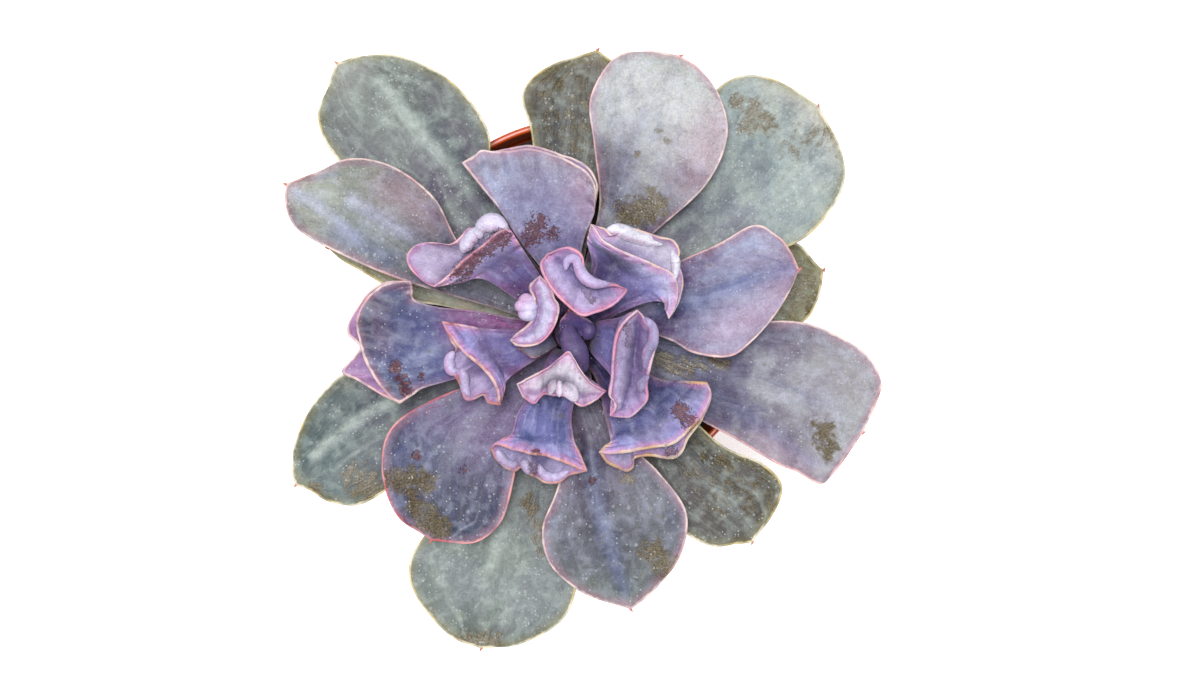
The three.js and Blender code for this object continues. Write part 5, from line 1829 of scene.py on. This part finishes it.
def mix_finish() -> bpy.types.Material:
    """Makes the damp dark potting mix with paler crumbs.

    Returns:
        The material.
    """
    g = Graph("damp_mix")
    place = g.place()
    tone = g.fact("tone")
    grain, fibre = g.noise(place, 0.9, 6.0, 0.5), g.noise(g.place((1.0, 0.3, 1.0)), 2.4, 4.0, 1.2)
    color = g.blend(grain.step(0.35, 0.7), paint(34, 25, 20), paint(70, 52, 40))
    color = g.blend(tone.step(0.55, 0.95), color, paint(112, 88, 66))
    color = g.blend(fibre.step(0.66, 0.74) * 0.6, color, paint(146, 120, 92))
    roughness = 0.78 + grain * 0.2
    return g.finish(color, roughness, g.bump(grain + fibre * 0.4, 0.5))


def stem_finish() -> bpy.types.Material:
    """Makes the stem's dull bark, darker and more purple at the crown, with pale leaf scars.

    Returns:
        The material.
    """
    g = Graph("stem_bark")
    place = g.place()
    scar, rise = g.fact("scar"), g.fact("rise")
    grain, fibre = g.noise(place, 0.7, 5.0, 0.4), g.noise(g.place((1.0, 1.0, 0.25)), 2.0, 4.0)
    color = g.blend(grain.step(0.3, 0.7), paint(92, 84, 62), paint(122, 112, 86))
    color = g.blend(fibre.step(0.5, 0.7) * 0.4, color, paint(70, 58, 50))
    color = g.blend(scar.step(0.35, 0.8) * 0.6, color, paint(160, 142, 116))
    color = g.blend((rise + grain * 6.0).step(8.0, 17.0) * 0.9, color, paint(98, 74, 108))
    roughness = 0.66 + grain * 0.2
    return g.finish(color, roughness, g.bump(grain * 0.6 + fibre * 0.5 - scar * 0.5, 0.35))


def floor_finish() -> bpy.types.Material:
    """Makes the white studio floor.

    Returns:
        The material.
    """
    g = Graph("white_floor")
    cloud = g.noise(g.place(), 0.01, 2.0)
    color = g.blend(cloud, (0.93, 0.93, 0.93, 1.0), (0.96, 0.96, 0.96, 1.0))
    roughness = 0.7 + cloud * 0.1
    glow = {"Emission_Color": WHITE, "Emission_Strength": FLOOR_GLOW}
    return g.finish(color, roughness, g.bump(cloud, 0.1, 0.1), **glow)


def mark(
    kind: MarkKind, *line: tuple[float, float], size: float, strength: float = 1.0
) -> Mark:
    """Makes a mark along a line of plan readings."""
    return Mark(kind, line, size, strength)


def marked(surface: Surface, name: str) -> Surface:
    """Adds the facts of a leaf's marks.

    Args:
        surface: The leaf's surface.
        name: The solid that the leaf replaces.

    Returns:
        The surface with a fact for each kind of mark.
    """
    plan = reading(surface.points)
    for kind in MarkKind:
        value = np.zeros(len(surface.points))
        for one in MARKS.get(name, ()):
            if one.kind is kind:
                share = line_distance(plan, one.line) / one.size
                sharp = kind in (MarkKind.RUB, MarkKind.SCAR)
                shape = np.clip(1 - 0.6 * share**2, 0, 1) if sharp else np.exp(-(share**2))
                value = np.maximum(value, one.strength * shape)
        surface.facts[kind.value] = value * (surface.facts["horn"] < 0.5)
    return surface


RUB, SCAR, LIGHT, DARK, FLUSH, TONE = MarkKind

# The dark marks paint the shade in creases, folds and hollows, besides a few dark veins; the pale marks on
# ridges and lips paint highlights, besides pale veins.
MARKS: dict[str, tuple[Mark, ...]] = {
    "outer_leaf_1": (mark(RUB, (58, 6), (63, -4), size=8, strength=0.6),),
    "outer_leaf_2": (
        mark(RUB, (-6, 64), (-2, 48), size=9, strength=0.6),
        mark(DARK, (-4, 64), (-6, 44), size=3, strength=0.4),
    ),
    "outer_leaf_4": (
        mark(LIGHT, (-52.4, -26), (-60, -30.3), (-70, -37.5), (-75, -42), size=1.8, strength=0.95),
        mark(RUB, (-63, -48), (-58, -53), size=5),
        mark(RUB, (-74, -51.5), size=2.4),
        mark(FLUSH, (-60, -15), (-66, -19), size=4, strength=0.6),
    ),
    "outer_leaf_5": (
        mark(RUB, (-33, -95), (-26, -95), size=4.5),
        mark(RUB, (-15, -55), (-10, -68), size=3, strength=0.8),
        mark(LIGHT, (-17, -48), (-21, -60), (-25, -72), size=2.4, strength=0.5),
    ),
    "outer_leaf_6": (
        mark(RUB, (36, -44), (46, -52), size=11, strength=0.55),
        mark(DARK, (26, -34), (44, -58), size=2.5, strength=0.4),
    ),
    "outer_leaf_7": (
        mark(LIGHT, (-56, 62), (-46, 50), (-36, 38), (-30, 32), size=2.2, strength=0.8),
        mark(DARK, (-42, 50), (-34, 40), (-27, 28), size=3.5, strength=0.55),
    ),
    "outer_leaf_8": (
        mark(RUB, (46, 50.5), (49, 56), size=3.4),
        mark(RUB, (51.5, 51), size=4),
        mark(RUB, (43.5, 57), size=2.6),
        mark(RUB, (58, 44), (69, 48), size=5, strength=0.6),
        mark(DARK, (28, 22), (40, 31), (52, 42), size=3.5, strength=0.55),
    ),
    "middle_leaf_1": (
        mark(LIGHT, (-80, 31.8), (-70, 25), (-62.8, 18.6), size=1.6, strength=0.95),
        mark(LIGHT, (-64, 29), (-49, 20), size=2.4, strength=0.9),
        mark(TONE, (-66, 24), (-50, 16), (-40, 12), size=4, strength=0.9),
        mark(DARK, (-68, 20), (-54, 13), size=3.5, strength=0.6),
        mark(FLUSH, (-52, 33), (-42, 26), size=7, strength=0.5),
        mark(DARK, (-46, 18), (-34, 12), size=3, strength=0.4),
    ),
    "middle_leaf_2": (
        mark(RUB, (67.5, -34), (69.5, -41), size=3.6),
        mark(RUB, (33, -16.5), (39.5, -16.5), size=2),
        mark(RUB, (22, -15), (30, -18), size=3),
        mark(DARK, (24, -17), (45, -30), (64, -44), size=2.4, strength=0.6),
        mark(DARK, (24, -13), (32, -16), size=5, strength=0.6),
        mark(LIGHT, (40, -18), (70, -29), size=5, strength=0.3),
        mark(FLUSH, (50, -38), (62, -46), size=4, strength=0.4),
    ),
    "middle_leaf_3": (
        mark(RUB, (13, 25), (21, 28), size=5),
        mark(RUB, (5.5, 29), size=2.4),
        mark(RUB, (22.2, 49), size=1.3),
        mark(RUB, (24.3, 45.7), size=1.3),
        mark(RUB, (16, 42.5), size=1.3),
        mark(FLUSH, (38, 50), (32, 36), size=7, strength=0.55),
        mark(DARK, (10, 26), (13, 40), (17.5, 54), size=3, strength=0.3),
    ),
    "middle_leaf_4": (
        mark(RUB, (-54, -49), (-44, -49), size=4),
        mark(RUB, (-48, -53), size=3.4),
        mark(RUB, (-46, -56), (-40, -63), size=4.5),
        mark(SCAR, (-33, -46), size=1.4),
        mark(SCAR, (-46, -42), size=1.6),
        mark(LIGHT, (-26, -28), (-34, -38), size=4, strength=0.3),
        mark(DARK, (-44, -40), (-52, -56), size=8, strength=0.3),
    ),
    "middle_leaf_5": (
        mark(DARK, (3, -42), (4, -52), (6, -62), (10, -74), (12, -80), size=2, strength=0.65),
        mark(LIGHT, (-6, -46), (-8, -64), size=3, strength=0.4),
        mark(SCAR, (3, -49), size=1.6),
        mark(RUB, (13, -49), size=2.2),
        mark(RUB, (20, -69), (26, -74), size=4.5),
        mark(TONE, (24, -58), (28, -66), size=8, strength=0.5),
    ),
    "middle_leaf_6": (
        mark(DARK, (22, -1.5), (35.8, 2.2), (40, 4.4), (50, 7.8), (61, 10.4), size=2.6),
        mark(LIGHT, (34, 14), (52, 22), size=5, strength=0.3),
        mark(LIGHT, (40, 1), (56, 4), size=2.2, strength=0.5),
        mark(FLUSH, (40, -7), (52, -3), (58, 3), size=6, strength=0.5),
    ),
    "flared_leaf_1": (
        mark(SCAR, (-52, -17), (-49, -24), size=2.2, strength=0.9),
        mark(SCAR, (-44.5, -20), size=1.3),
        mark(LIGHT, (-30, -3), (-52, 1), size=3, strength=0.25),
        mark(DARK, (-40, -14), (-56, -16), size=6, strength=0.6),
        mark(DARK, (-30, -9), (-44, -10), size=2.5, strength=0.5),
        mark(FLUSH, (-56, -12), (-58, 0), size=4, strength=0.2),
    ),
    "flared_leaf_2": (
        mark(SCAR, (-12, 23), (-14, 19), size=3.4, strength=0.9),
        mark(SCAR, (-8, 20), size=2.4),
        mark(TONE, (-20, 36), (-16, 28), size=6, strength=0.5),
        mark(FLUSH, (0, 34), (2, 26), size=5, strength=0.5),
    ),
    "trumpet_leaf_1": (mark(SCAR, (-34, 9), (-28, 15), (-22, 19), size=3),),
    "trumpet_leaf_2": (
        mark(DARK, (3, 7), (6, 11), (10, 12), size=5),
        mark(LIGHT, (2, 21), (16, 12.6), (24.2, 8.9), (24.7, -3.7), size=2.4, strength=0.8),
    ),
    "trumpet_leaf_4": (mark(SCAR, (-12.7, -41.4), (-13.5, -47.3), size=1.6, strength=0.9),),
    "trumpet_leaf_5": (mark(SCAR, (27.5, -29), (31.5, -34), size=2.6), mark(SCAR, (25, -41), size=2.2)),
    "inner_trumpet_1": (
        mark(SCAR, (1, 4.6), (3, 1.5), size=1.4, strength=0.9),
        mark(DARK, (-4.6, 8.9), (-2.7, 7), (-1.1, 5.4), size=1.2, strength=0.5),
        mark(DARK, (3.5, 2.7), (6.7, 2.9), (9.8, 3.9), size=1.2, strength=0.6),
    ),
    "inner_trumpet_2": (mark(FLUSH, (-15, 2.6), (-18.2, 0.7), (-18.5, -3.5), size=2, strength=0.7),),
    "inner_trumpet_4": (
        mark(
            DARK, (-9.6, -24.2), (-8.0, -21.6), (-6.8, -20.4), (-5.4, -20.8), (-3.0, -23.4), size=1.1,
            strength=0.7,
        ),
        mark(FLUSH, (-17, -22.5), (-15, -26), size=3, strength=0.5),
        mark(FLUSH, (3.5, -25.5), (0, -27.5), size=2, strength=0.5),
    ),
    "heart_leaf_2": (mark(DARK, (0, -4), (0.4, -8), size=1.2),),
    "inner_trumpet_3": (
        mark(DARK, (15.5, -25), (17.4, -21), (18.4, -16), size=2, strength=0.7),
        mark(SCAR, (13, -6), (13.6, -11), size=1.3),
        mark(DARK, (17.2, -4), (16.8, -9), (17, -14), (16.8, -20), size=1.8, strength=0.8),
        mark(DARK, (18.6, -7), (18.8, -13), size=2.4, strength=0.8),
    ),
}


def linked(name: str, data: bpy.types.ID) -> bpy.types.Object:
    """Makes an object and puts it in the scene.

    Args:
        name: The object's name.
        data: Its mesh, light or camera.

    Returns:
        The object.
    """
    obj = bpy.data.objects.new(name, data)
    bpy.context.scene.collection.objects.link(obj)
    return obj


def mesh_of(name: str, surface: Surface) -> bpy.types.Object:
    """Makes a Blender object of a surface.

    Args:
        name: The object's name.
        surface: The surface in millimetres.

    Returns:
        The object, with a smooth mesh and the surface's facts as attributes.
    """
    used = np.unique(np.concatenate([np.array(face) for face in surface.faces]))
    place = np.full(len(surface.points), -1)
    place[used] = np.arange(len(used))
    points = surface.points[used]
    mesh = bpy.data.meshes.new(name)
    mesh.from_pydata((points * MM).tolist(), [], [tuple(place[list(f)]) for f in surface.faces])
    mesh.polygons.foreach_set("use_smooth", np.ones(len(mesh.polygons), bool))
    for fact, values in surface.facts.items():
        layer = mesh.attributes.new(fact, "FLOAT", "POINT")
        layer.data.foreach_set("value", values[used].astype(np.float32))
    mesh.update()
    return linked(name, mesh)


def cut(obj: bpy.types.Object, tool: Surface) -> None:
    """Cuts a surface's inside out of an object.

    Args:
        obj: The object.
        tool: The surface in millimetres.
    """
    knife = mesh_of("knife", tool)
    change = obj.modifiers.new("holes", "BOOLEAN")
    change.object, change.solver = knife, "EXACT"
    view = bpy.context.evaluated_depsgraph_get()
    made = bpy.data.meshes.new_from_object(obj.evaluated_get(view))
    obj.modifiers.clear()
    obj.data = made
    bpy.data.objects.remove(knife)


def place(
    name: str,
    surface: Surface,
    node: str,
    slot: Slot,
    finish: bpy.types.Material,
    holes: Surface | None = None,
) -> None:
    """Puts a piece in the scene in the place of its solid.

    Args:
        name: The piece's name.
        surface: Its surface in millimetres.
        node: The solid that it replaces.
        slot: The record's material slot; not used.
        finish: Its material.
        holes: What is cut out of it.
    """
    obj = mesh_of(name, surface)
    if holes is not None:
        cut(obj, holes)
    obj.data.materials.append(finish)
    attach(obj, "root")
    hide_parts(node)
    log.info("%s: %d faces", name, len(obj.data.polygons))


def slot_of(leaf: Leaf) -> Slot:
    """Gives a leaf's material slot.

    Args:
        leaf: The leaf.

    Returns:
        The slot that the record gives its solid.
    """
    if leaf.name.startswith("outer"):
        return Slot.OUTER
    return Slot.MIDDLE if leaf.name.startswith(("middle", "flared")) else Slot.TRUMPET


def make_stage() -> None:
    """Adds the white floor."""
    mesh = bpy.data.meshes.new("floor")
    corners = [(x * FLOOR_HALF, y * FLOOR_HALF, 0) for x, y in ((-1, -1), (1, -1), (1, 1), (-1, 1))]
    mesh.from_pydata(corners, [], [(0, 1, 2, 3)])
    floor = linked("floor", mesh)
    mesh.materials.append(floor_finish())


def make_lights() -> None:
    """Adds the even studio light: a white room and a large soft lamp overhead."""
    world = bpy.data.worlds.new("room")
    world.use_nodes = True
    background = world.node_tree.nodes["Background"]
    background.inputs["Color"].default_value = WHITE
    background.inputs["Strength"].default_value = ROOM_LIGHT
    bpy.context.scene.world = world
    for name, spot, size, power in LAMPS:
        data = bpy.data.lights.new(name, "AREA")
        data.shape = "DISK"
        data.size = size
        data.energy = power
        lamp = linked(name, data)
        lamp.location = spot
        aim = Vector((0, 0, 0.1)) - Vector(spot)
        lamp.rotation_euler = aim.to_track_quat("-Z", "Y").to_euler()


def make_camera() -> None:
    """Adds the camera, straight above the plant."""
    data = bpy.data.cameras.new("camera")
    data.lens = LENS
    data.sensor_width = SENSOR
    data.clip_start = 0.01
    camera = linked("camera", data)
    camera.location = (EYE[0] * MM, EYE[1] * MM, (RIM_HEIGHT + EYE[2]) * MM)
    bpy.context.scene.camera = camera


def main() -> None:
    """Builds the plant, its pot, the stage, the lights and the camera."""
    pot = Pot()
    place("grower_pot", pot.surface(), "pot", Slot.POT, pot_finish(), pot.drills())
    place("loose_mix", PottingMix(pot).surface(), "potting_mix", Slot.MIX, mix_finish())
    place("leaning_stem", Stem().surface(), "stem", Slot.STEM, stem_finish())
    for leaf in (*FLAT_LEAVES, *BELL_LEAVES):
        surface = marked(leaf.surface(), leaf.name)
        place(f"fine_{leaf.name}", surface, leaf.name, slot_of(leaf), leaf_finish(leaf.name))
    make_stage()
    make_lights()
    make_camera()
    scene = bpy.context.scene
    scene.view_settings.view_transform = "Standard"
    scene.view_settings.exposure = 0


if __name__ == "__main__":
    main()
